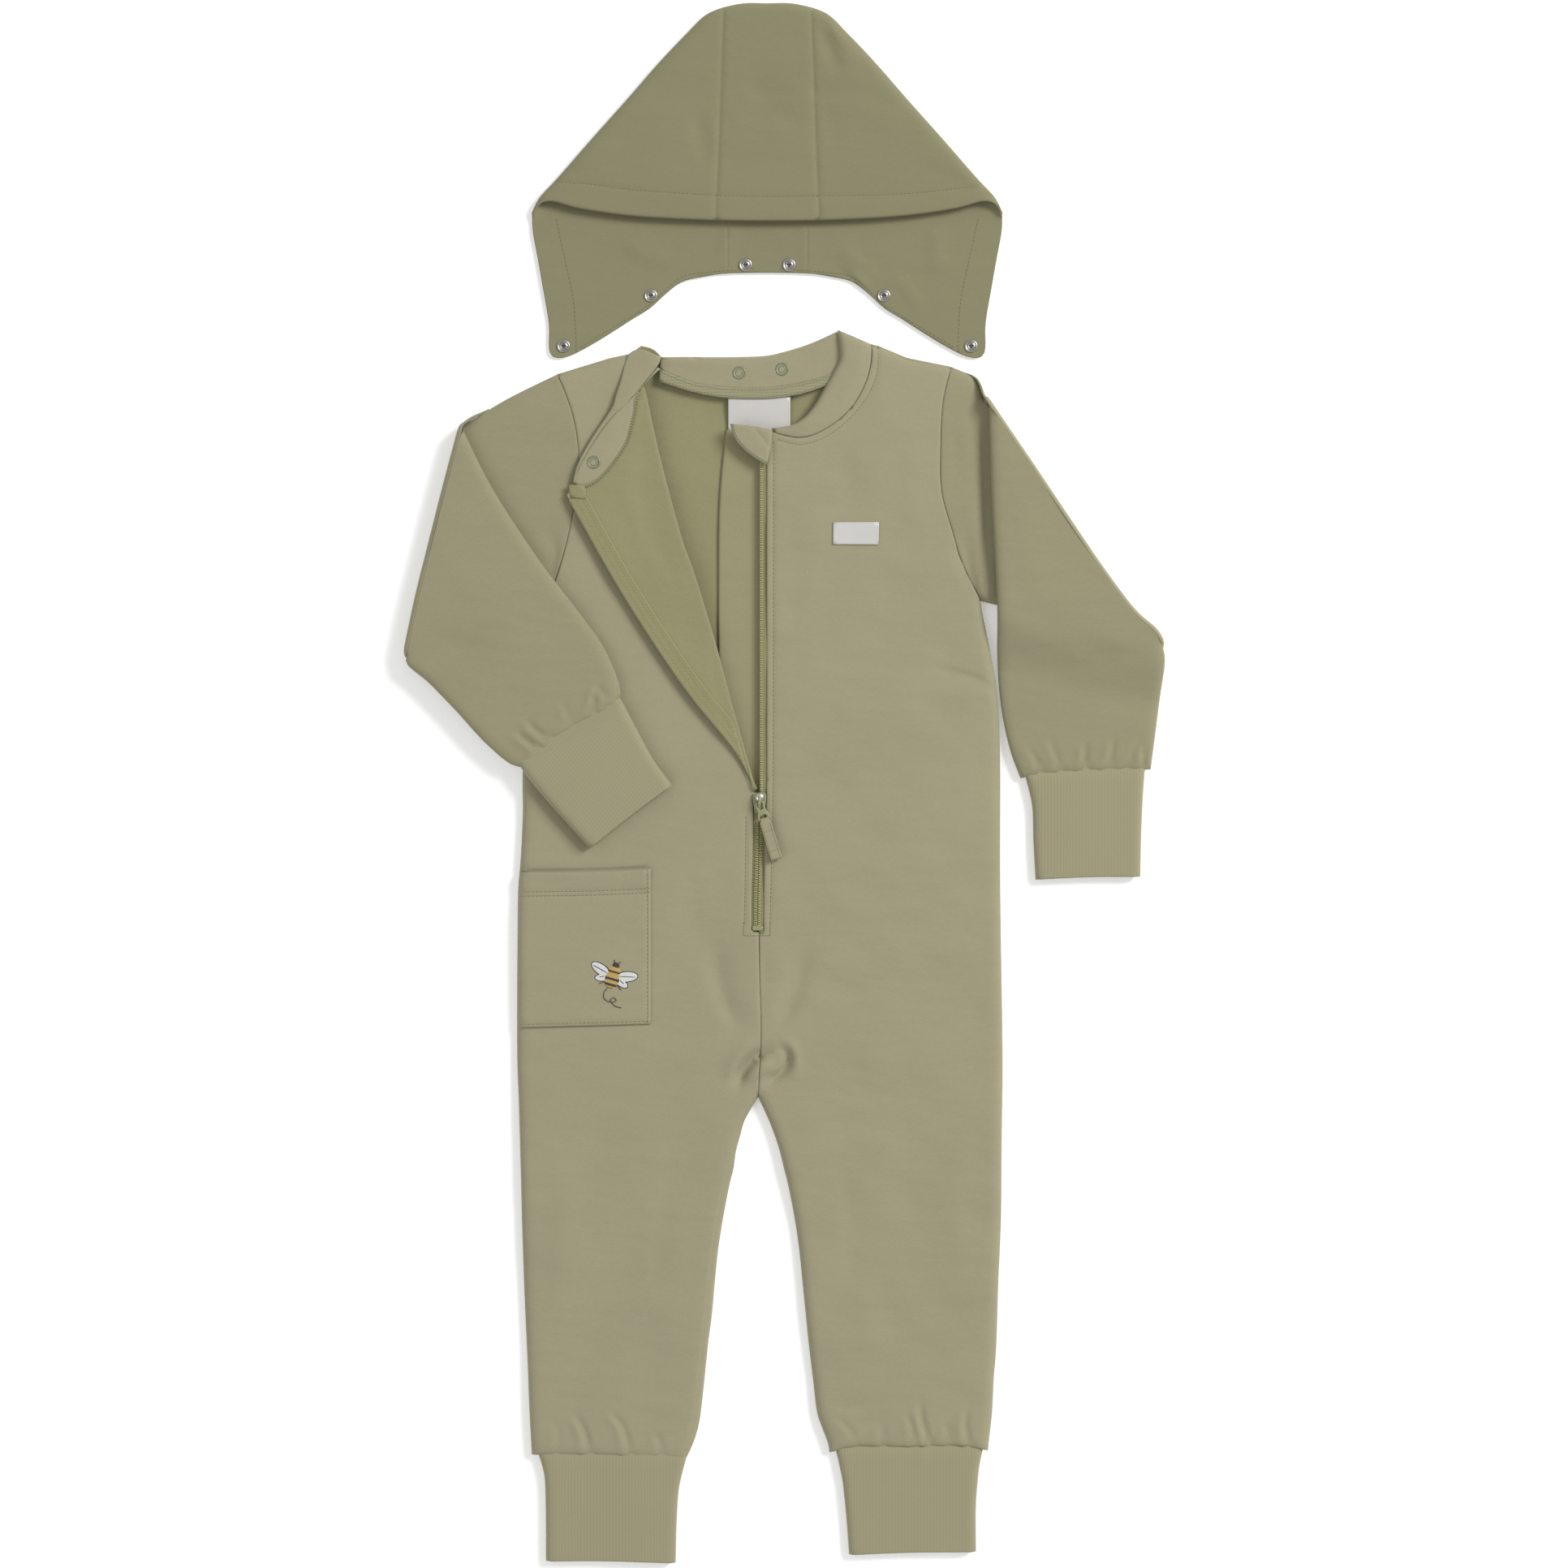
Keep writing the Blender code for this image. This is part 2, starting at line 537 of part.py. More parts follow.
def turned_block(name, size, centre, finish=None):
    """A box turned with the pull about the pull's pivot. Its centre is measured from the pivot."""
    mesh = block(name, size, (centre[0], SLIDER_Y + centre[1], PULL_Z + centre[2]))
    pivot = Vector((X_SHIFT, SLIDER_Y, 0)) * MM
    mesh.transform(Matrix.Translation(pivot) @ Matrix.Rotation(PULL_TURN, 4, "Z") @ Matrix.Translation(-pivot))
    return add_object(name, mesh, finish, PARTS) if finish else mesh


def slider():
    """The slider: two plates joined by a web between the rows of coils, and an arch that holds the pull."""
    body = block("zip_slider", (SLIDER_WIDTH, SLIDER_LENGTH, SLIDER_TOP - ON_TOP),
                 (0, SLIDER_Y, (ON_TOP + SLIDER_TOP) / 2), SLIDER_METAL)
    join_solid(body, block("slider_under", (SLIDER_WIDTH, SLIDER_LENGTH - 1, 1.3), (0, SLIDER_Y, 5.25)))
    join_solid(body, block("slider_web", (1.0, SLIDER_LENGTH - 2, 5.0), (0, SLIDER_Y, 7.4)))
    join_solid(body, block("slider_arch", (1.6, 8.0, 4.6), (0, SLIDER_Y, 12.4)))
    cut(body, "cut_slider_arch", block("cut_slider_arch", (3.0, 5.2, 2.6), (0, SLIDER_Y, 12.1)))
    return body


def pull():
    """The pull: a frame round the slider's arch with a plate, and a cloth tab folded through its eye."""
    frame_end, plate_end, arm = 7.6, 15.5, 1.2
    arm_x = (PULL_WIDTH - arm) / 2
    metal = turned_block("zip_pull", (PULL_WIDTH, arm, PULL_THICKNESS), (0, 0, 0), SLIDER_METAL)
    for side, x in (("left", -arm_x), ("right", arm_x)):
        join_solid(metal, turned_block(f"pull_arm_{side}", (arm, frame_end + 0.6, PULL_THICKNESS),
                                       (x, 0.3 - frame_end / 2, 0)))
    join_solid(metal, turned_block("pull_plate", (PULL_WIDTH, plate_end - frame_end + 0.4, PULL_THICKNESS),
                                   (0, 0.2 - (plate_end + frame_end) / 2, 0)))
    cut(metal, "cut_pull_eye", turned_block("cut_pull_eye", (4.2, 2.6, 4), (0, -12.6, 0)))

    loop_start, loop_end, tab_start, tab_end = 11.7, 17.2, 16.6, 42.0
    loop_height, strip_height = 3.8, 2.6
    tab = turned_block("pull_tab", (3.4, loop_end - loop_start + 0.6, loop_height),
                       (0, -(loop_start + loop_end) / 2 - 0.3, 0), RIB)
    cut(tab, "cut_tab_loop", turned_block("cut_tab_loop", (6, 3.6, PULL_THICKNESS + 0.7), (0, -14.2, 0)))
    join_solid(tab, turned_block("tab_strip", (PULL_WIDTH, tab_end - tab_start, strip_height),
                                 (0, -(tab_start + tab_end) / 2, -0.4)))
    return metal, tab


# ---------------------------------------------------------------- the hood

def hood():
    """The hood laid flat: three panels, each an upper and a lower layer, joined at the crown and the sides."""
    edge = [(18, CROWN_Y), (42, 552), (57, 538), (77, 517), (101, 489.5), (126, 461.5), (150, 434), (163, 420),
            (169, 408), (168, 396), (161, 357), (156, 324), (156, 308), (148, 305.5)]
    neck = [(148, 305.5), (139, 308), (124, 316), (107, 326.5), (97, 333), (84, 341), (73, 351), (63, 360),
            (45, 364), (30, 366)]
    seam = [(30, 366), (37, 405), (34, 463), (31, 520), (31, CROWN_Y + 1)]
    edge_line, neck_line = rounded(edge, 2), rounded(neck, 2)
    side_start = [(31.3, CROWN_Y - 3.2)] + [point for point in edge_line if point[0] > 35]
    side = side_start + neck_line[1:-1] + [(x + GAP, y) for x, y in seam[:-1]]
    room_side = (offset([point for point in edge_line if point[1] > 400], -WALL)
                 + [(175, 408), (175, 290), (20, 290), (20, CROWN_Y - 6)])
    hem = [(0, 402.5), (38, 403), (75, 404.5), (105, 407), (135, 412), (155, 416), (163, 413), (180, 411)]
    front_of_hem = rounded(hem) + [(200, 280), (-20, 280), (-20, 402.5)]

    def at_hood(points, sign):
        return [(HOOD_X + sign * x, y) for x, y in points]

    snaps = {"side": (83.5, 350), "front": (146, 314), "back": (15.5, 372)}
    pieces = []
    for side_name, sign in (("left", 1), ("right", -1)):
        panel = flat_piece(f"hood_{side_name}_panel", at_hood(side, sign), 0, BODY_HEIGHT, FLEECE)
        cut_flat(panel, at_hood(room_side, sign), CLOTH, FRONT_LOW)
        cut_flat(panel, at_hood(front_of_hem, sign), CLOTH, BODY_HEIGHT + 2)
        for place in ("side", "front"):
            x, y = snaps[place]
            pieces.append(add_snap(f"hood_snap_{place}_{side_name}", panel, HOOD_X + sign * x, y, 0, True,
                                   HOOD_SNAP_HEIGHT))
        pieces.append(panel)

    half = [(x, y) for x, y in seam[:-1]] + [(31, CROWN_Y - 3), (18, CROWN_Y), (0, CROWN_Y)]
    neck_middle = (0, 366.6)
    outline = at_hood(half, 1) + at_hood([neck_middle] + half[:-1], -1)[::-1][:-1] + at_hood([neck_middle], 1)
    centre = flat_piece("hood_centre_panel", outline, 0, BODY_HEIGHT, FLEECE)
    inside_top = CROWN_Y - WALL
    room = [(50, inside_top - 3), (0, inside_top), (-50, inside_top - 3), (-50, 340), (50, 340)]
    cut_flat(centre, at_hood(room, 1), CLOTH, FRONT_LOW)
    middle_hem = [(60, 403.5), (0, 402.5), (-60, 403.5), (-60, 340), (60, 340)]
    cut_flat(centre, at_hood(middle_hem, 1), CLOTH, BODY_HEIGHT + 2)
    for side_name, sign in (("left", 1), ("right", -1)):
        x, y = snaps["back"]
        pieces.append(add_snap(f"hood_snap_back_{side_name}", centre, HOOD_X + sign * x, y, 0, True,
                               HOOD_SNAP_HEIGHT))
    return pieces + [centre]


empty_scene()
PARTS = collection(COLLECTION)
CUTTERS = collection("cutters")
FLEECE = material("olive_fleece", (0.34, 0.32, 0.20), 0.9)
RIB = material("olive_rib", (0.35, 0.33, 0.215), 0.9)
TAPE = material("zip_tape", (0.27, 0.26, 0.13), 0.8)
COIL = material("zip_coil", (0.25, 0.25, 0.12), 0.5)
LABEL = material("satin_label", (0.75, 0.75, 0.73), 0.4)
METAL = material("snap_metal", (0.62, 0.62, 0.6), 0.3, 1.0)
SLIDER_METAL = material("painted_slider", (0.33, 0.34, 0.22), 0.4, 0.6)

back_panels()
front_panels()
collars()
front_trims()
zip_tapes()
ankle_cuffs()
flap_pieces = turned_out_front()
left_pieces = left_sleeve()
right_pieces = right_sleeve()
slider_body = slider()
pull_metal, pull_tab = pull()
hood_pieces = hood()

for moving, axis_name, (start, end) in ((flap_pieces, "axis_lapel_fold", LAPEL_FOLD),
                                        (left_pieces, "axis_left_sleeve_fold", LEFT_SLEEVE_FOLD),
                                        (right_pieces, "axis_right_sleeve_fold", RIGHT_SLEEVE_FOLD)):
    hang_on(moving, axis_name, (*start, FOLD_Z), (end[0] - start[0], end[1] - start[1]))
hang_on([slider_body], "axis_zip", (0, SLIDER_Y, BODY_HEIGHT))
hang_on([pull_metal, pull_tab], "axis_pull", (0, SLIDER_Y, PULL_Z), (math.cos(PULL_TURN), math.sin(PULL_TURN)))
hang_on(hood_pieces, "axis_hood", (HOOD_X, 430, 0))
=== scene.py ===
"""The looks of a child's hooded zip jumpsuit, laid flat with its hood snapped off, around its CAD frame."""
import json
import math

import bmesh
import bpy
import numpy as np
from mathutils import Matrix, Vector
from mathutils.bvhtree import BVHTree
from mathutils.geometry import delaunay_2d_cdt


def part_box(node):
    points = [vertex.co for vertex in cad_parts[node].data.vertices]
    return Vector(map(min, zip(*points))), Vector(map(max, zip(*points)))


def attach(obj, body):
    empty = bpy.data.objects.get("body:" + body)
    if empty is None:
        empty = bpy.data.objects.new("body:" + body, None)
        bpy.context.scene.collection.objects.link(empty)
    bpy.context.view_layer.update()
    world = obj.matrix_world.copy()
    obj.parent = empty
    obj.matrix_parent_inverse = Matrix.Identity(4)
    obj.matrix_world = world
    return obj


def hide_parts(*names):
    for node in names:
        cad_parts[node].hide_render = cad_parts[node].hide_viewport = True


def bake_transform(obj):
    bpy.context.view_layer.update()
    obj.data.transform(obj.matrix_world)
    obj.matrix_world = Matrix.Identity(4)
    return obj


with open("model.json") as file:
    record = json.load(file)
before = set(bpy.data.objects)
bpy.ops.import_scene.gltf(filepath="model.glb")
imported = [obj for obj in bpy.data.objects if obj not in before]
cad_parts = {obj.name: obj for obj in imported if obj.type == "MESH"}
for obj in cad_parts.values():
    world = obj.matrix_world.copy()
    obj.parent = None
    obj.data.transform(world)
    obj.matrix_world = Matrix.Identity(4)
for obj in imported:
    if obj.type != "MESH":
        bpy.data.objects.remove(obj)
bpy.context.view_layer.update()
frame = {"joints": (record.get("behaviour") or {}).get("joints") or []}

MM = 0.001
# Outlines are in millimetres from the zip line; heights are above the table.
ZIP_X = (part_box("zip_coil_left")[0][0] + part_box("zip_coil_right_lower")[1][0]) / 2
BODY_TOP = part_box("front_panel_left")[1][2] / MM
FOLD_Z = next(j for j in frame["joints"] if j["name"] == "left_sleeve_fold")["pos_m"][2] / MM
CLOTH = 1.5                          # thickness of the fleece
UNDER = 0.25                         # height of the lowest layer's outer face
SEAM_Z = 4.3                         # height of the side seams, where the front and back layers meet
LIFT = 9.3                           # how much higher a sleeve lies on the suit than on the table
ROUNDED = 7.5                        # how far in from a folded or side-seamed edge the cloth rounds off
EDGE_STEP, SEAM_STEP = 3.6, 3.0      # distance between the points along an outline, and along a sewn line
WIDE_STEP, FINE_STEP = 5.0, 2.4      # and between those that fill a plain area, and a finely made one
RINGS = (0.7, 1.6, 2.9, 4.6, 6.8)    # how far inside an outline the rows of points beside it lie
SEAM_ROWS = (0, -1.0, 1.0, -2.4, 2.4)  # the same beside a sewn line
SEAM_CLEAR, EDGE_CLEAR = 3.2, 0.6    # how far other points stay from a sewn line, and a seam's from an edge
# How deep, and how far in, each kind of edge rounds off.
EDGES = {"side": (BODY_TOP - SEAM_Z, ROUNDED), "seam": (0.65, 2.0), "free": (0.4, 1.3), "open": (0.0, 1.0),
         "hem": (2.6, 6.5), "tape": (0.15, 0.6), "side_fold": (0.9, 2.2), "guard": (1.1, 2.6)}
SEED = 11


# ---------------------------------------------------------------- lines and fills

def curve(points, steps=6):
    """A smooth line through the given points."""
    p = np.asarray(points, float)
    ends = np.vstack([p[:1], p, p[-1:]])
    t = np.linspace(0, 1, steps, endpoint=False)[:, None]
    parts = []
    for a, b, c, d in zip(ends, ends[1:], ends[2:], ends[3:]):
        parts.append(0.5 * (2 * b + (c - a) * t + (2 * a - 5 * b + 4 * c - d) * t ** 2
                            + (3 * b - a - 3 * c + d) * t ** 3))
    return np.vstack(parts + [p[-1:]])


def line_of(points):
    """A line straight from point to point."""
    return np.asarray(points, float)


def spaced(line, gap):
    """The same line with points about a gap apart."""
    along = np.r_[0, np.cumsum(np.linalg.norm(np.diff(line, axis=0), axis=1))]
    at = np.linspace(0, along[-1], max(1, round(along[-1] / gap)) + 1)
    return np.column_stack([np.interp(at, along, line[:, k]) for k in range(line.shape[1])])


def length_of(line):
    return float(np.linalg.norm(np.diff(line, axis=0), axis=1).sum())


def normals_of(line):
    """Unit vectors to the left of a line at each of its points."""
    ahead = np.gradient(line, axis=0)
    left = np.column_stack([-ahead[:, 1], ahead[:, 0]])
    return left / np.maximum(np.linalg.norm(left, axis=1, keepdims=True), 1e-9)


def beside(line, distance):
    """A line moved to its left."""
    line = np.asarray(line, float)
    return line + normals_of(line) * distance


def nearest(points, line):
    """Each point's distance to a line, how far along the line that is, and its side, 1 on the left."""
    start, step = line[:-1], np.diff(line, axis=0)
    keep = (step ** 2).sum(1) > 1e-12
    start, step = start[keep], step[keep]
    long2 = (step ** 2).sum(1)
    relative = points[:, None] - start[None]
    t = np.clip((relative * step).sum(2) / long2, 0, 1)
    away = np.linalg.norm(relative - t[..., None] * step, axis=2)
    best = away.argmin(1)
    row = np.arange(len(points))
    total = np.r_[0, np.cumsum(np.sqrt(long2))]
    side = np.sign(step[best, 0] * relative[row, best, 1] - step[best, 1] * relative[row, best, 0])
    return away[row, best], total[best] + t[row, best] * np.sqrt(long2[best]), side


def inside(points, outline):
    """Which points lie inside an outline."""
    x, y = points[:, 0, None], points[:, 1, None]
    (x0, y0), (x1, y1) = outline.T, np.roll(outline, -1, 0).T
    rise = np.where(y1 == y0, 1e-12, y1 - y0)
    return (((y0 > y) != (y1 > y)) & (x < x0 + (y - y0) * (x1 - x0) / rise)).sum(1) % 2 == 1


def lattice(low, high, gap):
    """Points at the corners of equal triangles, between two corners of a box."""
    rows = np.arange(low[1], high[1], gap * 0.866)
    columns = np.arange(low[0], high[0], gap)
    x, y = np.meshgrid(columns, rows)
    x = x + np.where(np.arange(len(rows)) % 2, gap / 2, 0)[:, None]
    return np.column_stack([x.ravel(), y.ravel()])


def filled(stretches, spacing=WIDE_STEP, sewn=(), fine=()):
    """Points and triangles that fill an outline, finer along its edges and its sewn lines, and within reach
    of the fine lines."""
    edge = np.vstack([spaced(line, EDGE_STEP)[:-1] for _, line in stretches])
    loop = np.vstack([edge, edge[:1]])
    x, y = edge.T
    turn = 1 if (x * np.roll(y, -1) - np.roll(x, -1) * y).sum() > 0 else -1
    ahead = np.roll(edge, -1, 0) - np.roll(edge, 1, 0)
    inward = np.column_stack([-ahead[:, 1], ahead[:, 0]]) * turn
    inward /= np.maximum(np.linalg.norm(inward, axis=1, keepdims=True), 1e-9)
    seam_points = []
    for line in sewn:
        run = spaced(line, SEAM_STEP)
        seam_points += [run + normals_of(run) * shift for shift in SEAM_ROWS]
    seam_points = np.vstack(seam_points) if seam_points else np.zeros((0, 2))
    if len(seam_points):
        seam_points = seam_points[inside(seam_points, edge)]
        seam_points = seam_points[nearest(seam_points, loop)[0] > EDGE_CLEAR]
    rings = []
    for ring in RINGS:
        moved = edge + inward * ring
        rings.append(moved[inside(moved, edge) & (nearest(moved, loop)[0] > 0.92 * ring)])
    low, high = edge.min(0) - spacing, edge.max(0) + spacing

    def field(gap, wanted):
        grid = lattice(low, high, gap)
        grid = grid[inside(grid, edge)]
        grid = grid[nearest(grid, loop)[0] > RINGS[-1] + 0.35 * gap]
        close = np.zeros(len(grid), bool)
        for line, reach in fine:
            close |= nearest(grid, line)[0] < reach
        return grid[close == wanted]

    inner = [field(spacing, False)] + ([field(FINE_STEP, True)] if fine else [])
    free = np.vstack(rings + inner)
    for line in sewn:
        free = free[nearest(free, line)[0] > SEAM_CLEAR]
    points = np.vstack([edge, seam_points, free])
    points = points[np.sort(np.unique(np.round(points, 2), axis=0, return_index=True)[1])]
    count = len(edge)
    sides = [(i, (i + 1) % count) for i in range(count)]
    found = delaunay_2d_cdt([Vector(p) for p in points], sides, [], 1, 1e-4)
    return np.array([tuple(v) for v in found[0]]), [tuple(face) for face in found[2]]


# ---------------------------------------------------------------- heights

def smooth(t):
    """From 0 to 1 with a soft start and end."""
    t = np.clip(t, 0, 1)
    return t * t * (3 - 2 * t)


def quarter(t):
    """1 at an edge, rounding off to 0 inside."""
    return 1 - np.sqrt(np.maximum(0, 1 - (1 - np.clip(t, 0, 1)) ** 2))


def part(least, t):
    """From least, where t is 0, to 1."""
    return least + (1 - least) * t


def edge_drop(points, stretches, scale=1.0):
    """How far a face comes down beside the stretches of its outline."""
    drop = np.zeros(len(points))
    for kind, line in stretches:
        depth, radius = EDGES[kind]
        if depth:
            drop = np.maximum(drop, depth * scale * quarter(nearest(points, line)[0] / radius))
    return drop


def ripples(points, size, seed, waves=9):
    """Soft waves, about one unit high and size long."""
    random = np.random.default_rng(SEED + seed)
    total = np.zeros(len(points))
    for _ in range(waves):
        angle, length = random.uniform(0, 2 * math.pi), size * random.uniform(0.7, 1.8)
        across = points @ [math.cos(angle), math.sin(angle)]
        total += np.sin(across * 2 * math.pi / length + random.uniform(0, 7))
    return total / math.sqrt(waves)


def crease(points, line, height, width, lean=0.0, from_seam=False, fade=0.35):
    """A ridge along a line, or a valley where the height is negative. It fades at its far end, and at its
    near end unless it starts in a seam, over a share of its length. One that leans is wider on its left."""
    line = curve(line)
    away, along, side = nearest(points, line)
    t = along / length_of(line)
    ends = 1 - t if from_seam else np.minimum(t, 1 - t)
    return height * np.exp(-(away / (width * (1 + lean * side))) ** 2) * smooth(ends / fade)


def creases(points, rows):
    """All the creases of a face, each row a line, its height, width, lean and whether it starts in a seam."""
    total = np.zeros(len(points))
    for row in rows:
        total += crease(points, *row)
    return total


def grooves(points, sewn, depth=0.45, width=1.1):
    """How deep the sewn lines draw the cloth in."""
    total = np.zeros(len(points))
    for line in sewn:
        total = np.maximum(total, depth * np.exp(-(nearest(points, line)[0] / width) ** 2))
    return total


# ---------------------------------------------------------------- objects

def to_world(points):
    """Millimetres from the zip line as metres in the frame."""
    points = np.array(points, float) * MM
    points[:, 0] += ZIP_X
    return points


def new_object(name, points, faces, finishes):
    """A smooth mesh object from points in millimetres."""
    mesh = bpy.data.meshes.new(name)
    mesh.from_pydata(to_world(points).tolist(), [], [tuple(map(int, face)) for face in faces])
    mesh.validate()
    for finish in finishes:
        mesh.materials.append(finish)
    mesh.polygons.foreach_set("use_smooth", [True] * len(mesh.polygons))
    mesh.update()
    made = bpy.data.objects.new(name, mesh)
    bpy.context.scene.collection.objects.link(made)
    return made


def weld(piece, distance=0.02):
    """Joins the points of a piece that lie together."""
    work = bmesh.new()
    work.from_mesh(piece.data)
    bmesh.ops.remove_doubles(work, verts=work.verts, dist=distance * MM)
    work.to_mesh(piece.data)
    work.free()


def thicken(piece, thickness=CLOTH):
    """Gives a piece its cloth's thickness inwards, and its second finish on that side."""
    solid = piece.modifiers.new("cloth", "SOLIDIFY")
    solid.thickness = thickness * MM
    solid.offset = -1
    solid.use_even_offset = False
    if len(piece.data.materials) > 1:
        solid.material_offset = 1
    return piece


def settle(piece, body, nodes=()):
    """Fixes a piece to its body, and hides the CAD nodes that it stands for."""
    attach(piece, body)
    if nodes:
        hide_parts(*nodes)
    return piece


# Shares of its rectangle that a cut fills: the most, the least before it counts as a band, and a band's own.
FULLEST, BAND, BAND_FULL = 0.99, 0.4, 0.8
NARROWEST = 0.0101                   # metres


def declare(piece, wrap=1.0):
    """Works out how wide the piece is across its longest direction, from its own surface; a curved band,
    which fills little of that rectangle, takes its area and its length instead. Nothing is kept or returned."""
    points = np.array([v.co[:2] for v in piece.data.vertices])
    points = points - points.mean(0)
    spread = points @ np.linalg.svd(points, full_matrices=False)[2].T
    long, wide = np.ptp(spread[:, 0]), np.ptp(spread[:, 1]) * wrap
    area = sum(polygon.area for polygon in piece.data.polygons)
    wide = max(wide, area / (FULLEST * long))
    if area < BAND * wide * long:
        wide = area / (BAND_FULL * long)
    wide = max(wide, NARROWEST)


def cloth(name, stretches, height, finishes, down=False, spacing=WIDE_STEP, sewn=(), fine=(),
          thickness=CLOTH):
    """One layer of cloth: its outer face at the given height, its thickness inside."""
    points, faces = filled(stretches, spacing, sewn, fine)
    z = height(points)
    if down:
        faces = [face[::-1] for face in faces]
    piece = new_object(name, np.column_stack([points, z]), faces, finishes)
    return thicken(piece, thickness)


def two_layers(name, upper, lower, finishes, thickness):
    """An upper and a lower layer, each stretches, height and options, joined where their edges meet."""
    points, faces, parts = [], [], 0
    for (stretches, height, options), flip in ((upper, False), (lower, True)):
        flat, found = filled(stretches, **options)
        points.append(np.column_stack([flat, height(flat)]))
        faces += [tuple(i + parts for i in (face[::-1] if flip else face)) for face in found]
        parts += len(flat)
    piece = new_object(name, np.vstack(points), faces, finishes)
    weld(piece)
    return thicken(piece, thickness)


def surface(pieces, above=0.1):
    """A way to find how high the given pieces stand at a place, looking down from above, in metres."""
    bpy.context.view_layer.update()
    depsgraph = bpy.context.evaluated_depsgraph_get()
    trees = [BVHTree.FromObject(piece, depsgraph) for piece in pieces]

    def top(x, y):
        best = None
        for tree in trees:
            hit = tree.ray_cast(Vector((x * MM + ZIP_X, y * MM, above)), Vector((0, 0, -1)))[0]
            if hit is not None and (best is None or hit.z > best):
                best = hit.z
        return None if best is None else best / MM
    return top


BAR_RINGS = ((0, 0.35), (0.2, 1), (0.8, 1), (1, 0.35))   # how far along a bar, and how thick it is there


def capsules(ends, wide, tall, sides=6):
    """Points and faces of short rounded bars, each between two points."""
    points, faces = [], []
    for a, b in ends:
        a, b = np.asarray(a, float), np.asarray(b, float)
        ahead = (b - a) / max(np.linalg.norm(b - a), 1e-9)
        across = np.cross(ahead, (0, 0, 1))
        across /= max(np.linalg.norm(across), 1e-9)
        up = np.cross(across, ahead)
        first = len(points)
        for share, girth in BAR_RINGS:
            for k in range(sides):
                turn = 2 * math.pi * k / sides
                points.append(a + (b - a) * share + across * (math.cos(turn) * wide / 2 * girth)
                              + up * (math.sin(turn) * tall / 2 * girth))
        last = len(BAR_RINGS) - 1
        for ring in range(last):
            for k in range(sides):
                at, after = first + ring * sides + k, first + ring * sides + (k + 1) % sides
                faces.append((at, at + sides, after + sides, after))
        faces.append(tuple(first + k for k in range(sides)))
        faces.append(tuple(first + last * sides + k for k in reversed(range(sides))))
    return points, faces


def stitches(name, lines, pieces, finish, body, pitch=3.0, long=2.2, wide=0.5, proud=0.05, step=1.6):
    """Rows of thread stitches laid on the pieces' upper faces, but not where a step in them is too high."""
    top = surface(pieces)
    ends = []
    for line in lines:
        run = spaced(np.asarray(line, float), pitch)
        ahead = np.gradient(run, axis=0)
        ahead /= np.maximum(np.linalg.norm(ahead, axis=1, keepdims=True), 1e-9)
        for place, way in zip(run, ahead):
            a, b = place - way * long / 2, place + way * long / 2
            heights = [top(*a), top(*b)]
            if None not in heights and abs(heights[0] - heights[1]) < step:
                ends.append(((*a, heights[0] + proud), (*b, heights[1] + proud)))
    piece = new_object(name, *capsules(ends, wide, wide), [finish])
    return settle(piece, body)


def turned(name, profile, x, y, low, finish, segments=32):
    """A solid turned about an upright line, from its radius and height pairs."""
    points, faces = [], []
    for radius, z in profile:
        for k in range(segments):
            turn = 2 * math.pi * k / segments
            points.append((x + radius * math.cos(turn), y + radius * math.sin(turn), low + z))
    for ring in range(len(profile) - 1):
        for k in range(segments):
            a, b = ring * segments + k, ring * segments + (k + 1) % segments
            faces.append((a, b, b + segments, a + segments))
    piece = new_object(name, points, faces, [finish])
    weld(piece, 0.01)
    return piece


def plate(name, outline, low, high, bevel, finish, holes=(), pivot=(0, 0), turn=0.0, smooth_steps=5):
    """A flat plate with rounded edges and holes, turned about its pivot."""
    data = bpy.data.curves.new(name, "CURVE")
    data.dimensions = "2D"
    data.fill_mode = "BOTH"
    data.extrude = ((high - low) / 2 - bevel) * MM
    data.bevel_depth = bevel * MM
    data.bevel_resolution = 3
    data.offset = -bevel * MM
    rotate = Matrix.Rotation(turn, 2)
    for loop in [outline] + list(holes):
        loop = curve(list(loop) + [loop[0]], smooth_steps)[:-1]
        spline = data.splines.new("POLY")
        spline.points.add(len(loop) - 1)
        for point, place in zip(spline.points, loop):
            x, y = rotate @ Vector(place)
            point.co = ((x + pivot[0]) * MM + ZIP_X, (y + pivot[1]) * MM, 0, 1)
        spline.use_cyclic_u = True
    guide = bpy.data.objects.new(name + "_guide", data)
    bpy.context.scene.collection.objects.link(guide)
    bpy.context.view_layer.update()
    mesh = bpy.data.meshes.new_from_object(guide.evaluated_get(bpy.context.evaluated_depsgraph_get()))
    mesh.transform(Matrix.Translation((0, 0, (low + high) / 2 * MM)))
    bpy.data.objects.remove(guide)
    mesh.materials.clear()
    mesh.materials.append(finish)
    made = bpy.data.objects.new(name, mesh)
    bpy.context.scene.collection.objects.link(made)
    mesh.polygons.foreach_set("use_smooth", [False] * len(mesh.polygons))
    return made


# ---------------------------------------------------------------- materials

WAVE = 1000 / 6.283                  # scale of a wave texture whose bands are 1 mm apart


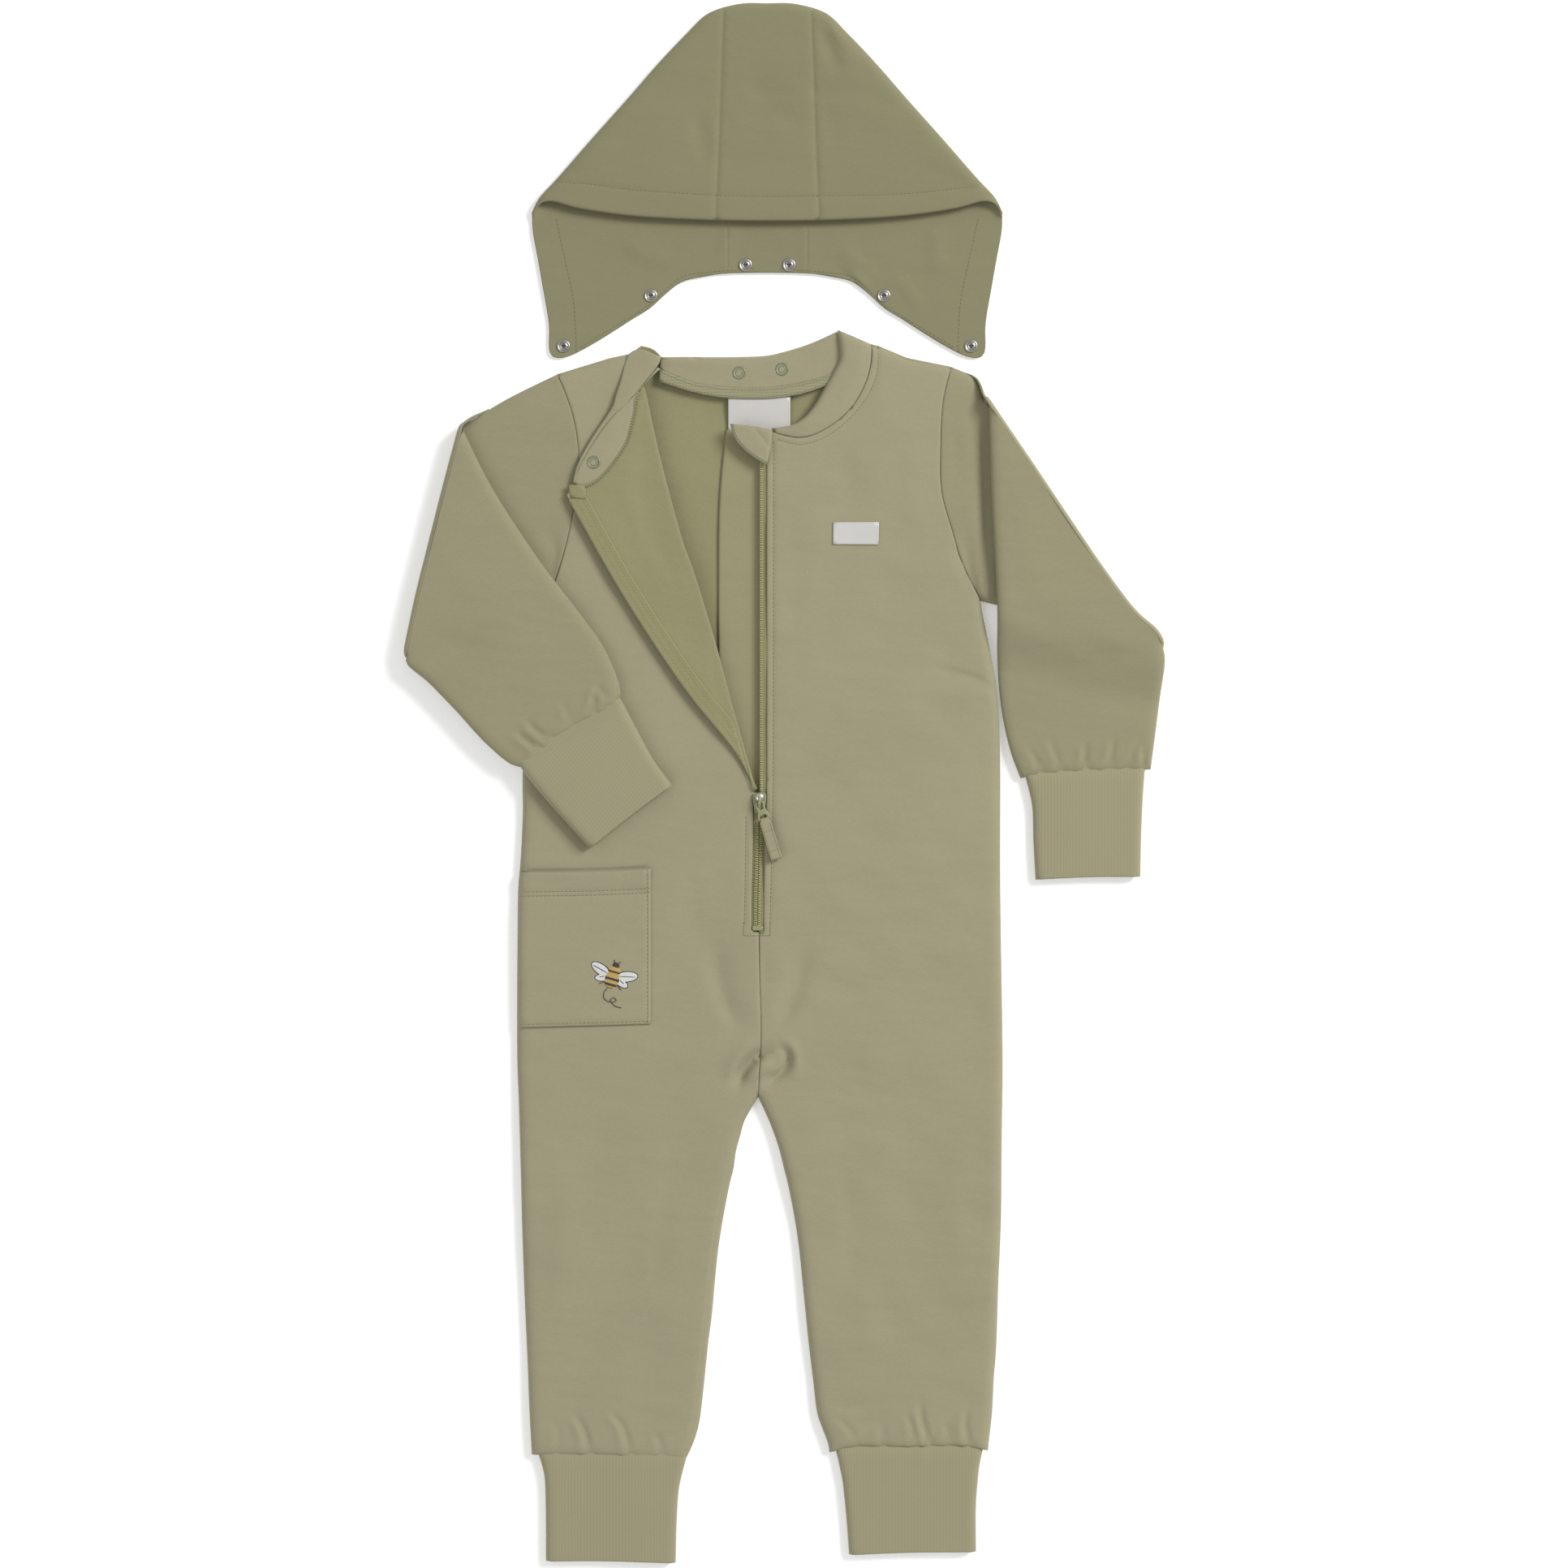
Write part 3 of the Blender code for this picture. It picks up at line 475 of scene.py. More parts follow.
class Nodes:
    """A short way to build a material's nodes."""

    def __init__(self, name, roughness, metallic=0.0, sheen=0.0):
        self.material = bpy.data.materials.new(name)
        self.material.use_nodes = True
        self.tree = self.material.node_tree
        self.shader = self.tree.nodes["Principled BSDF"]
        self.shader.inputs["Roughness"].default_value = roughness
        self.shader.inputs["Metallic"].default_value = metallic
        if sheen:
            self.shader.inputs["Sheen Weight"].default_value = sheen
            self.shader.inputs["Sheen Roughness"].default_value = 0.45
        self.place = self.tree.nodes.new("ShaderNodeTexCoord").outputs["Object"]

    def add(self, kind, **values):
        node = self.tree.nodes.new(kind)
        for key, value in values.items():
            if hasattr(node, key) and key not in node.inputs:
                setattr(node, key, value)
            else:
                node.inputs[key.replace("_", " ")].default_value = value
        return node

    def link(self, a, b):
        self.tree.links.new(a, b)

    def noise(self, size_mm, detail=2.0, rough=0.5, stretch=None):
        node = self.add("ShaderNodeTexNoise", Scale=1000 / size_mm, Detail=detail, Roughness=rough)
        source = self.place
        if stretch:
            mapping = self.add("ShaderNodeMapping", Scale=stretch)
            self.link(source, mapping.inputs["Vector"])
            source = mapping.outputs["Vector"]
        self.link(source, node.inputs["Vector"])
        return node.outputs["Fac"]

    def shades(self, factor, dark, light, colour=(1.0, 1.0, 1.0)):
        """The colour at two strengths, mixed by the factor."""
        node = self.add("ShaderNodeMix", data_type="RGBA")
        for side, strength in (("A", dark), ("B", light)):
            node.inputs[side].default_value = (*(c * strength for c in colour), 1)
        self.link(factor, node.inputs["Factor"])
        return node.outputs["Result"]

    def blend(self, a, b, share, kind="MULTIPLY"):
        node = self.add("ShaderNodeMix", data_type="RGBA", blend_type=kind)
        node.inputs["Factor"].default_value = share
        self.link(a, node.inputs["A"])
        self.link(b, node.inputs["B"])
        return node.outputs["Result"]

    def bump(self, height, strength, distance_mm, after=None):
        node = self.add("ShaderNodeBump", Strength=strength, Distance=distance_mm * MM)
        self.link(height, node.inputs["Height"])
        if after:
            self.link(after, node.inputs["Normal"])
        return node.outputs["Normal"]

    def waves(self, pitch_mm, direction, source=None, **values):
        """Bands a pitch apart, across the given direction."""
        node = self.add("ShaderNodeTexWave", Scale=WAVE / pitch_mm, bands_direction=direction, **values)
        self.link(source or self.place, node.inputs["Vector"])
        return node.outputs["Fac"]

    def finish(self, colour, normal=None):
        self.link(colour, self.shader.inputs["Base Color"])
        if normal:
            self.link(normal, self.shader.inputs["Normal"])
        return self.material


def knit(name, colour, fuzz=0.0, sheen=0.15):
    """Smooth sweat fleece, or its brushed inner side where fuzz is above 0."""
    n = Nodes(name, 0.92, sheen=sheen)
    broad = n.shades(n.noise(90, 3), 0.95, 1.05, colour)
    grain = n.shades(n.noise(1.1, 2, 0.6), 0.90, 1.10)
    rows = n.shades(n.noise(1.8, 2, 0.5, (0.45, 2.6, 1.0)), 0.91, 1.09)
    fine = n.bump(n.noise(0.9, 3, 0.65), 0.35 + fuzz, 0.12)
    tufts = n.noise(3.5, 3, 0.6) if fuzz else n.noise(1.8, 3, 0.6, (0.5, 2.4, 1.0))
    coarse = n.bump(tufts, 0.25 + fuzz, 0.25, fine)
    slack = n.bump(n.noise(34, 2, 0.45, (0.55, 1.5, 1.0)), 0.55, 3.0, coarse)
    return n.finish(n.blend(n.blend(broad, grain, 0.5 + fuzz * 0.4), rows, 0.8), slack)


def rib(name, colour, along):
    """Rib knit: fine upright ridges along the cuff."""
    n = Nodes(name, 0.9, sheen=0.25)
    turn = n.add("ShaderNodeMapping", Rotation=(0, 0, -math.atan2(along[1], along[0]) + math.pi / 2))
    n.link(n.place, turn.inputs["Vector"])
    ridges = n.waves(1.15, "X", turn.outputs["Vector"], Distortion=0.3, Detail=1.0)
    # The ridges' colour is lighter on their crests and darker between them: painted shade in the rib's
    # grooves, beside their bump.
    face = n.blend(n.shades(ridges, 0.96, 1.03, colour), n.shades(n.noise(1.2, 2, 0.6), 0.92, 1.08), 0.6)
    return n.finish(face, n.bump(n.noise(0.8, 3), 0.3, 0.1, n.bump(ridges, 0.3, 0.12)))


def woven(name, colour, pitch=0.7):
    """A plain weave with rows across the zip."""
    n = Nodes(name, 0.7, sheen=0.1)
    rows = n.waves(pitch, "Y", Distortion=0.4)
    # Each row is lighter on its crest and darker between rows: painted shade in the weave's grooves, beside
    # its bump.
    face = n.blend(n.shades(rows, 0.9, 1.1, colour), n.shades(n.noise(2.5), 0.93, 1.07), 0.8)
    return n.finish(face, n.bump(rows, 0.5, 0.1))


def satin(name, colour):
    n = Nodes(name, 0.35, sheen=0.2)
    return n.finish(n.shades(n.noise(14, 3, 0.6), 0.93, 1.04, colour),
                    n.bump(n.waves(0.5, "X", Distortion=0.2), 0.15, 0.05))


def plated(name, colour, roughness, metallic=1.0, worn=0.12):
    """Metal, or the coil's smooth nylon, worn lighter and darker in small patches."""
    n = Nodes(name, roughness, metallic)
    return n.finish(n.shades(n.noise(2.0, 4, 0.6), 1 - worn, 1 + worn, colour),
                    n.bump(n.noise(0.8, 2), 0.1, 0.05))


def thread(name, colour):
    n = Nodes(name, 0.75, sheen=0.1)
    return n.finish(n.shades(n.noise(0.5, 2), 0.88, 1.12, colour))


# ---------------------------------------------------------------- shapes, in millimetres from the zip line

SHOULDER_L = line_of([(84.7, 313.8), (105.6, 305), (137, 298.7)])
ARMHOLE_L = curve([(137, 298.7), (131, 273), (129.3, 240), (130, 209.4), (137.5, 181.5), (145, 158),
                   (158, 131)])
SIDE_L = curve([(158, 131), (160, 119.5), (162.4, 108), (167, 85), (170.5, 61.5), (171.7, 38), (172.3, 3.5),
                (172.3, -78), (174, -194), (173.4, -252), (172.8, -310), (171, -356), (169.4, -402.5),
                (167.6, -426), (166.5, -449), (164, -472), (163.5, -477)], 4)
HEM_L = curve([(163.5, -477), (142.7, -473.5), (103.8, -474.4), (68.4, -474), (50, -478.5)])
INSEAM_L = curve([(50, -478.5), (49, -472), (44.7, -460.5), (41, -449), (38.3, -426), (35.4, -402.5),
                  (33, -379), (30.7, -356), (28.4, -333), (25, -310), (20.3, -286.5), (17.4, -275),
                  (14.5, -263), (11, -252), (6.4, -240), (-1, -224)], 4)
SHOULDER_R = line_of([(-144.4, 293.5), (-106.7, 305), (-92, 308), (-84.7, 310.5)])
ARMHOLE_R = curve([(-156, 127), (-150, 138), (-143.8, 152), (-135.5, 183), (-129.5, 215), (-129.5, 240),
                   (-134, 265.6), (-144.4, 293.5)])
SIDE_RIGHT = curve([(-163, -480), (-164.7, -449), (-166, -414), (-167.6, -379), (-169.4, -333),
                    (-171, -275), (-172.3, -228.5), (-173.4, -194), (-173.4, -136), (-172.8, -78),
                    (-171, -54.5), (-169.4, -20), (-169.6, 3.5), (-168, 60), (-163, 105), (-156, 127)], 4)
HEM_R = curve([(-52.8, -483), (-97.4, -480.8), (-122.4, -479.7), (-163, -480)])
INSEAM_R = curve([(-1, -224), (-10.4, -240), (-14, -252), (-17, -263), (-18.6, -275), (-21.5, -286.5),
                  (-26, -310), (-29.6, -333), (-32, -356), (-34, -379), (-37, -402.5), (-39.4, -426),
                  (-42, -449), (-44, -460.5), (-47.6, -472), (-52.8, -483)], 4)
NECK_L = curve([(9, 251.5), (17.4, 249.4), (27.8, 247.7), (39.4, 250), (54.5, 258.7), (67.3, 271.4),
                (76, 287.7), (79.5, 301.6), (80, 314.5)])
LAPEL = curve([(-3.5, -5.2), (-11.6, 23.2), (-22.6, 62.6), (-33.2, 102), (-47.5, 149), (-57.5, 177.5),
               (-73, 235.5), (-83.5, 284.2)])
ZIP_EDGE, TAPE_EDGE = 5.2, 14.0
ZIP_END, COIL_END, COIL_TOP = -106.0, -101.0, 228.0


def boxed(kind, corners):
    """The sides of a closed shape with sharp corners."""
    return [(kind, line_of(pair)) for pair in zip(corners, corners[1:] + corners[:1])]


def mirror(line):
    return (np.asarray(line, float) * [-1, 1])[::-1]


# ---------------------------------------------------------------- finishes

OLIVE = (0.302, 0.278, 0.173)
FACE = knit("sweat_fleece_face", OLIVE)
INSIDE = knit("sweat_fleece_brushed_inside", (0.252, 0.238, 0.124), 0.35, 0.3)
HOOD_FACE = knit("hood_fleece_face", (0.217, 0.204, 0.114))
SLEEVE_FACE = knit("sleeve_fleece_face", (0.272, 0.252, 0.15))
FACING = knit("placket_fleece_face", (0.28, 0.262, 0.145))
TAPE = woven("zip_tape_weave", (0.237, 0.23, 0.108))
NECK_TAPE = woven("neck_tape_weave", (0.27, 0.255, 0.148), 1.1)
SATIN = satin("satin_label_face", (0.56, 0.545, 0.52))
THREAD = thread("olive_thread", (0.19, 0.178, 0.095))
PALE_THREAD = thread("pale_overlock_thread", (0.37, 0.355, 0.21))
COIL = plated("zip_coil_nylon", (0.44, 0.43, 0.20), 0.4, 0.0, 0.08)
SILVER = plated("silver_snap_metal", (0.45, 0.43, 0.4), 0.36)
SHADE = plated("snap_socket_shade", (0.10, 0.095, 0.09), 0.5, 0.8)
RING = plated("painted_ring_snap", (0.235, 0.262, 0.165), 0.38, 0.35)
PAINT = plated("painted_slider_metal", (0.30, 0.31, 0.17), 0.34, 0.25)
BRIGHT = plated("worn_slider_metal", (0.6, 0.6, 0.54), 0.34)


# ---------------------------------------------------------------- the body

GATHERS = [((-126, -480), (-129, -464), (-137, -450)), ((-97, -481), (-101, -462), (-112, -447)),
           ((-150, -480), (-148, -468), (-150, -455)), ((-74, -482), (-76, -470), (-80, -462)),
           ((118, -474), (112, -455), (111, -440)), ((108, -474), (104, -457), (100, -449)),
           ((66, -474), (60, -462), (50, -452)), ((146, -473), (143, -458), (146, -445)),
           ((132, -473), (130, -462), (128, -455)), ((84, -474), (83, -466), (86, -458))]
UNEVEN = (1.0, 0.8, 0.35, 0.5, 1.1, 0.6, 0.45, 0.9, 0.4, 0.7)    # how strong the gathers are, one by one
pocket_top = curve([(-77.7, -60.3), (-100, -61.8), (-140, -62.8), (-171.6, -63.2)])
pocket_mouth = beside(pocket_top, -0.9)


def gathered(lines, width, lean, beside_by, depth):
    """Rows of creases where cloth is gathered into a cuff: a ridge along each line and a valley beside it."""
    ridges = [(line, 0.9 * share, width, lean, True) for line, share in zip(lines, UNEVEN)]
    return ridges + [(np.add(line, beside_by), -depth * share, 1.8, 0.0, True)
                     for line, share in zip(lines, UNEVEN)]


def body_folds(points):
    return creases(points, gathered(GATHERS, 2.4, 0.3, (4.5, 0), 1.6) + [
        (((4, -108), (2, -150), (4, -184)), -0.7, 4.0, 0.3),
        (((-16, -222), (-12, -208), (-4, -198), (6, -192), (14, -192)), -4.8, 3.3, 0.4),
        (((-2, -214), (8, -211), (17, -204), (20, -194), (12, -187)), -4.4, 3.0, -0.3),
        (((-10, -214), (-2, -205), (6, -201), (13, -201)), 2.6, 3.4),
        (((-24, -214), (-18, -200), (-8, -189), (4, -183)), 1.7, 4.4, 0.4),
        (((22, -214), (26, -200), (22, -187), (12, -180)), 1.5, 4.2),
        (((8, -180), (26, -150), (34, -112)), -1.9, 7.0, 0.3),
        (((-10, -180), (-28, -150), (-34, -105)), -2.3, 7.0, -0.3),
        (((172, 66), (150, 78), (118, 84)), -1.0, 3.6, 0.5, True),
        (((170, 74), (146, 66), (112, 66)), 0.7, 6.0, 0.2, True),
        (((156, 134), (147, 152), (139, 178)), -1.2, 3.5, 0.3),
        (((60, 240), (64, 214), (62, 186)), -0.5, 8.0),
        (((33, 236), (36, 160), (35, 60)), 0.35, 12.0),
        (((86, 300), (90, 270), (72, 246), (44, 234)), 0.45, 7.0),
        (((-42, 60), (-60, 10), (-64, -60)), 0.35, 14.0),
        (((20, 214), (26, 180), (24, 120), (30, 60)), -0.45, 9.0, 0.2),
        (((118, 250), (108, 214), (112, 170)), 0.5, 9.0, 0.2),
        (((150, 150), (124, 132), (96, 128)), -0.7, 6.0, 0.3, True),
        (((140, 120), (110, 100), (70, 96)), 0.4, 9.0),
        (((40, 30), (70, 14), (120, 12)), -0.4, 9.0, 0.3),
        (((30, -60), (60, -84), (110, -90)), 0.45, 12.0),
        (((14, -110), (40, -140), (90, -150)), -0.5, 10.0, 0.3),
        (((24, -200), (60, -186), (110, -196)), 0.6, 12.0, 0.2),
        (((-24, -204), (-60, -196), (-104, -204)), 0.6, 12.0),
        (((-30, -150), (-46, -100), (-50, -40)), -0.5, 8.0, 0.2),
        (((56, -250), (66, -320), (62, -380)), -0.7, 9.0, 0.3),
        (((150, -230), (140, -300), (146, -380)), 0.6, 10.0),
        (((-60, -250), (-72, -330), (-66, -390)), -0.7, 9.0, 0.3),
        (((-150, -240), (-140, -310), (-146, -390)), 0.6, 10.0),
        (((40, -440), (70, -446), (100, -436)), -0.6, 5.0, 0.3),
        (((-56, -446), (-84, -440), (-110, -446)), 0.5, 5.0, 0.3),
        (((96, -200), (112, -290), (116, -390)), -0.6, 16.0, 0.2),
        (((-96, -200), (-116, -300), (-108, -400)), -0.6, 18.0, 0.2),
        (((60, -330), (78, -380), (84, -430)), 0.6, 10.0),
    ])


def front_height(stretches, sewn, seed):
    """The slack, folds and seams of the front, flatter where the right sleeve and the flap lie on it."""
    def height(points):
        low = 1 - smooth((points[:, 1] + 60) / 60)
        free = smooth((points[:, 0] + 40) / 40)
        z = BODY_TOP - 0.4 + ripples(points, 120, seed) * (0.16 + 0.4 * np.maximum(low, free))
        z = z + ripples(points, 44, seed + 1) * (0.1 + 0.12 * np.maximum(low, free))
        z = z + body_folds(points) - grooves(points, sewn)
        z = np.minimum(z, np.where((points[:, 1] > -178) & (points[:, 0] < -60), BODY_TOP + 0.1,
                                   BODY_TOP + 3))
        return z - edge_drop(points, stretches)
    return height


def back_height(stretches, seed):
    """The back lies on the table, a little slack, and comes up to its seams."""
    def height(points):
        z = UNDER + np.abs(ripples(points, 90, seed)) * 0.25
        return z + edge_drop(points, stretches, SEAM_Z / (BODY_TOP - SEAM_Z))
    return height


FINE = [(line_of([(-60, -483), (-110, -481), (-163, -480)]), 34),
        (line_of([(50, -476), (110, -474), (164, -474)]), 34),
        (line_of([(0, -180), (0, -222)]), 34), (line_of([(158, 131), (140, 170)]), 16),
        (line_of([(172, 70), (130, 80)]), 16)]


def chain_x(y):
    """The closed chain leans a little to one side below the slider."""
    return -1.4 * smooth((-20 - np.asarray(y, float)) / 70)


chain_rows = np.linspace(-20, ZIP_END, 12)
zip_left = np.vstack([[(-0.6, ZIP_END)], np.column_stack([chain_x(chain_rows) + 4.4, chain_rows])[::-1],
                      [(ZIP_EDGE, 0), (ZIP_EDGE, 252), (9, 251.5)]])
centre_seam = curve([(-1, -224), (1, -180), (0, -140), (-0.6, ZIP_END)])
neck_stitch = curve([(14, 246), (23.2, 243.4), (34.8, 243.4), (51, 250.4), (67.3, 264.3), (79, 280.5),
                     (84.2, 295.8), (84.8, 310)])
front_left = [("seam", NECK_L), ("seam", line_of([(80, 314.5), (84.7, 313.8)])), ("side", SHOULDER_L),
              ("seam", ARMHOLE_L), ("side", SIDE_L), ("hem", HEM_L), ("side", INSEAM_L),
              ("seam", centre_seam), ("free", zip_left)]
zip_stitch = curve([(10, 244), (9.8, 20), (9, -40), (7.6, -99)])
left_seams = [zip_stitch, neck_stitch, beside(INSEAM_L, 3.6)[8:-16]]
left_cloth = cloth("front_left_cloth", front_left, front_height(front_left, left_seams, 1), [FACE, INSIDE],
                   sewn=left_seams, fine=FINE)
settle(left_cloth, "suit", ["front_panel_left"])

zip_right = np.vstack([[(-3.5, -5.2), (-4.6, -12)],
                       np.column_stack([chain_x(chain_rows) - 4.4, chain_rows]), [(-0.6, ZIP_END)]])
front_right = [("open", LAPEL[::-1]), ("free", zip_right), ("seam", centre_seam[::-1]),
               ("side", INSEAM_R), ("hem", HEM_R), ("side", SIDE_RIGHT), ("seam", ARMHOLE_R),
               ("side", SHOULDER_R), ("seam", line_of([(-84.7, 310.5), (-83.5, 284.2)]))]
right_stitch = curve([(-9.6, -24), (-10, -60), (-10.8, -99)])
right_seams = [right_stitch, beside(INSEAM_R, -3.6)[16:-8]]


def front_right_height(points):
    z = front_height(front_right, right_seams, 5)(points)
    away = nearest(points, LAPEL)[0]
    return z - 1.2 * quarter(away / 6.0) * (points[:, 1] > 4) - grooves(points, [pocket_mouth], 1.3, 0.9)


right_cloth = cloth("front_right_cloth", front_right, front_right_height, [FACE, INSIDE],
                    sewn=right_seams + [pocket_mouth[2:-2]], fine=FINE)
settle(right_cloth, "suit", ["front_panel_right"])

back_neck = curve([(0, 277.5), (22, 279), (47, 287), (62, 297), (75, 311), (84.7, 313.8)])
back_seam = line_of([(-1, -224), (0, -200), (0, 277.5)])
back_left = [("seam", back_neck), ("side", SHOULDER_L), ("seam", ARMHOLE_L), ("side", SIDE_L),
             ("hem", HEM_L), ("side", INSEAM_L), ("seam", back_seam)]
left_back_cloth = cloth("back_left_cloth", back_left, back_height(back_left, 7), [FACE, INSIDE], down=True,
                        fine=FINE[:3])
settle(left_back_cloth, "suit", ["back_panel_left"])
back_right = [("seam", mirror(back_neck)), ("seam", back_seam[::-1]), ("side", INSEAM_R), ("hem", HEM_R),
              ("side", SIDE_RIGHT), ("seam", ARMHOLE_R),
              ("side", np.vstack([SHOULDER_R[:-1], [(-84.7, 313.8)]]))]
right_back_cloth = cloth("back_right_cloth", back_right, back_height(back_right, 9), [FACE, INSIDE],
                         down=True, fine=FINE[:3])
settle(right_back_cloth, "suit", ["back_panel_right"])
for piece in (left_cloth, right_cloth, left_back_cloth, right_back_cloth):
    declare(piece)


# ---------------------------------------------------------------- sleeves and cuffs

def closed_tube(name, stretches, upper, lower, middle, finishes, sewn=(), fine=(), radius=ROUNDED,
                thickness=CLOTH, spacing=WIDE_STEP):
    """An upper and a lower layer that meet, at middle height, along the sides."""
    flat, faces = filled(stretches, spacing, sewn, fine)
    high, low, centre = upper(flat), lower(flat), middle(flat)
    round_off = np.ones(len(flat))
    for kind, line in stretches:
        away = nearest(flat, line)[0]
        if kind == "side":
            round_off = np.minimum(round_off, 1 - quarter(away / radius))
        elif kind in EDGES:
            depth, reach = EDGES[kind]
            high = high - depth * quarter(away / reach)
            low = low + depth * 0.4 * quarter(away / reach)
    high = centre + (high - centre) * round_off - grooves(flat, sewn)
    low = centre + (low - centre) * round_off
    count = len(flat)
    points = np.vstack([np.column_stack([flat, high]), np.column_stack([flat, low])])
    piece = new_object(name, points, faces + [tuple(i + count for i in face[::-1]) for face in faces],
                       finishes)
    weld(piece)
    return thicken(piece, thickness)


def roll(name, line, low, high, bulge, finishes, starts=(0, 0), stops=(0, 0), thickness=CLOTH):
    """Cloth that rolls over a fold, from the low layer round to the high one, out to the left of the line.
    At each end it dies away over a length, down to a height: starts and stops."""
    line = spaced(np.asarray(line, float), 2.0)
    left = normals_of(line)
    along = np.linspace(0, length_of(line), len(line))
    high = high(line) if callable(high) else np.full(len(line), float(high))
    centre, half, out = (low + high) / 2, (high - low) / 2, np.full(len(line), float(bulge))
    for (run, height), gone in ((starts, along), (stops, along[::-1])):
        near = 1 - quarter((gone - run) / ROUNDED)
        fade = smooth(gone / run) if run else 1.0
        half = half * part(0.56, near) * part(0.08, fade)
        out = out * part(0.4, near) * part(0.05, fade)
        centre = height + (centre - height) * fade
    steps = 12
    wide = steps + 1
    turns = np.linspace(0, math.pi, wide)
    across = (line[:, None] + left[:, None] * (out[:, None] * np.sin(turns))[..., None]).reshape(-1, 2)
    points = np.column_stack([across, (centre[:, None] - half[:, None] * np.cos(turns)).ravel()])
    faces = [(i * wide + k, (i + 1) * wide + k, (i + 1) * wide + k + 1, i * wide + k + 1)
             for i in range(len(line) - 1) for k in range(steps)]
    piece = new_object(name, points, faces, finishes)
    normal = piece.data.polygons[len(faces) // 2].normal
    middle = left[len(left) // 2]
    if normal.x * middle[0] + normal.y * middle[1] < 0:
        piece.data.flip_normals()
    thicken(piece, thickness)
    at = to_world([(*line[len(line) // 2], 0)])[0]
    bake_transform(piece)
    return piece


ELBOW_L = curve([(163, 278.4), (169.4, 268), (197, 227.4), (222.7, 189), (248, 152), (268.5, 125),
                 (284, 111), (290.6, 100)])
ELBOW_R = curve([(-214.6, 258), (-226.8, 212), (-238.4, 166), (-247, 131), (-255.2, 92)])
ROLL = 3.4                           # how far the elbows' rolled cloth stands out from its fold
fold_l, fold_r = beside(ELBOW_L, -ROLL), beside(ELBOW_R, ROLL)
SLEEVE_TOP = 2 * FOLD_Z - 0.5        # upper face of a folded sleeve
TOP_LOW = BODY_TOP - 0.35            # and of the sleeve under it
DIP = 0.9                            # how far a folded sleeve's slack cloth stays under its highest point


def level(z):
    """A flat face at a height."""
    return lambda points: np.full(len(points), float(z))


def sleeve_folds(points, rows, base, size, seed, wave):
    return base + ripples(points, size, seed) * wave + creases(points, rows)


def upper_sleeve(name, stretches, rows, size, seed):
    """The upper arm, flat where the folded sleeve lies on it."""
    def top(points):
        return np.minimum(sleeve_folds(points, rows, TOP_LOW - 0.3, size, seed, 0.25), TOP_LOW + 0.25)
    return closed_tube(name, stretches, top, level(UNDER), level(SEAM_Z), [SLEEVE_FACE, INSIDE])


upper_l = [("seam", ARMHOLE_L[::-1]), ("side", curve([(137, 298.7), (155, 290), fold_l[0]])),
           ("open", fold_l), ("side", line_of([fold_l[-1], (158, 131)]))]
LEFT_CREASES = [(((156, 132), (150, 160), (150, 190)), -1.6, 4.0, 0.3, True),
                (((150, 292), (152, 262), (151, 222), (153, 190)), -1.0, 3.6, 0.3),
                (((139, 262), (140, 236), (143, 205)), -0.8, 3.0, 0.3),
                (((160, 280), (161, 240), (162, 190), (162, 142)), -3.2, 4.4)]
left_upper = upper_sleeve("sleeve_left_upper_cloth", upper_l, LEFT_CREASES, 80, 21)
settle(left_upper, "suit", ["sleeve_left_upper"])

DRAPE_FROM, DRAPE_RUN = line_of([(161, 128), (290, 97)]), 45.0


def drape(points):
    """How far the lower left sleeve has come down to the table, beyond the body's edge."""
    run = (DRAPE_FROM[1] - DRAPE_FROM[0]) * 2
    away, _, side = nearest(points, np.vstack([DRAPE_FROM[0] - run, DRAPE_FROM[1] + run]))
    return LIFT * smooth(np.where(side < 0, away, 0) / DRAPE_RUN)


inner_l = curve([(163.5, 276), (165.3, 214.6), (169.4, 132.8), (170, 92), (172.8, 56), (179, 25.5),
                 (186.8, 4)])
outer_l = curve([(280, 10.4), (284, 41), (286.5, 61.5), (289.4, 87), fold_l[-1]])
hem_l = curve([(186.8, 4), (200, 6.5), (235, 9), (262, 9.5), (280, 10.4)])
lower_l = [("side", inner_l), ("hem", hem_l), ("side", outer_l), ("open", fold_l[::-1])]
WRIST_L = [((228, 8), (229, 20), (230, 30)), ((245, 9), (248, 22), (250, 34)),
           ((258, 9), (262, 20), (270, 32)), ((212, 7), (208, 20), (202, 34)),
           ((271, 10), (271, 20), (274, 28)), ((198, 6), (194, 16), (188, 26))]
WRIST_R = [((-150, 28), (-162, 36), (-172, 46)), ((-122, 47), (-122, 60), (-116, 72)),
           ((-137, 38), (-141, 50), (-146, 60)), ((-112, 53), (-114, 62), (-120, 70)),
           ((-160, 21), (-170, 30), (-180, 36))]
WRIST_GATHERS = (2.2, 0.2, (4, 1), 1.5)      # width, lean, how far off the valleys lie, and how deep


def lower_left_top(points):
    rows = gathered(WRIST_L, *WRIST_GATHERS) + [
        (((176, 250), (190, 180), (200, 110)), 0.5, 14),
        (((286, 96), (256, 92), (226, 98)), -0.8, 7.0, 0.2, True),
        (((180, 132), (214, 110), (250, 104)), -0.7, 9.0),
    ]
    return np.minimum(sleeve_folds(points, rows, SLEEVE_TOP - DIP, 95, 31, 0.35),
                      SLEEVE_TOP + 0.2) - drape(points)


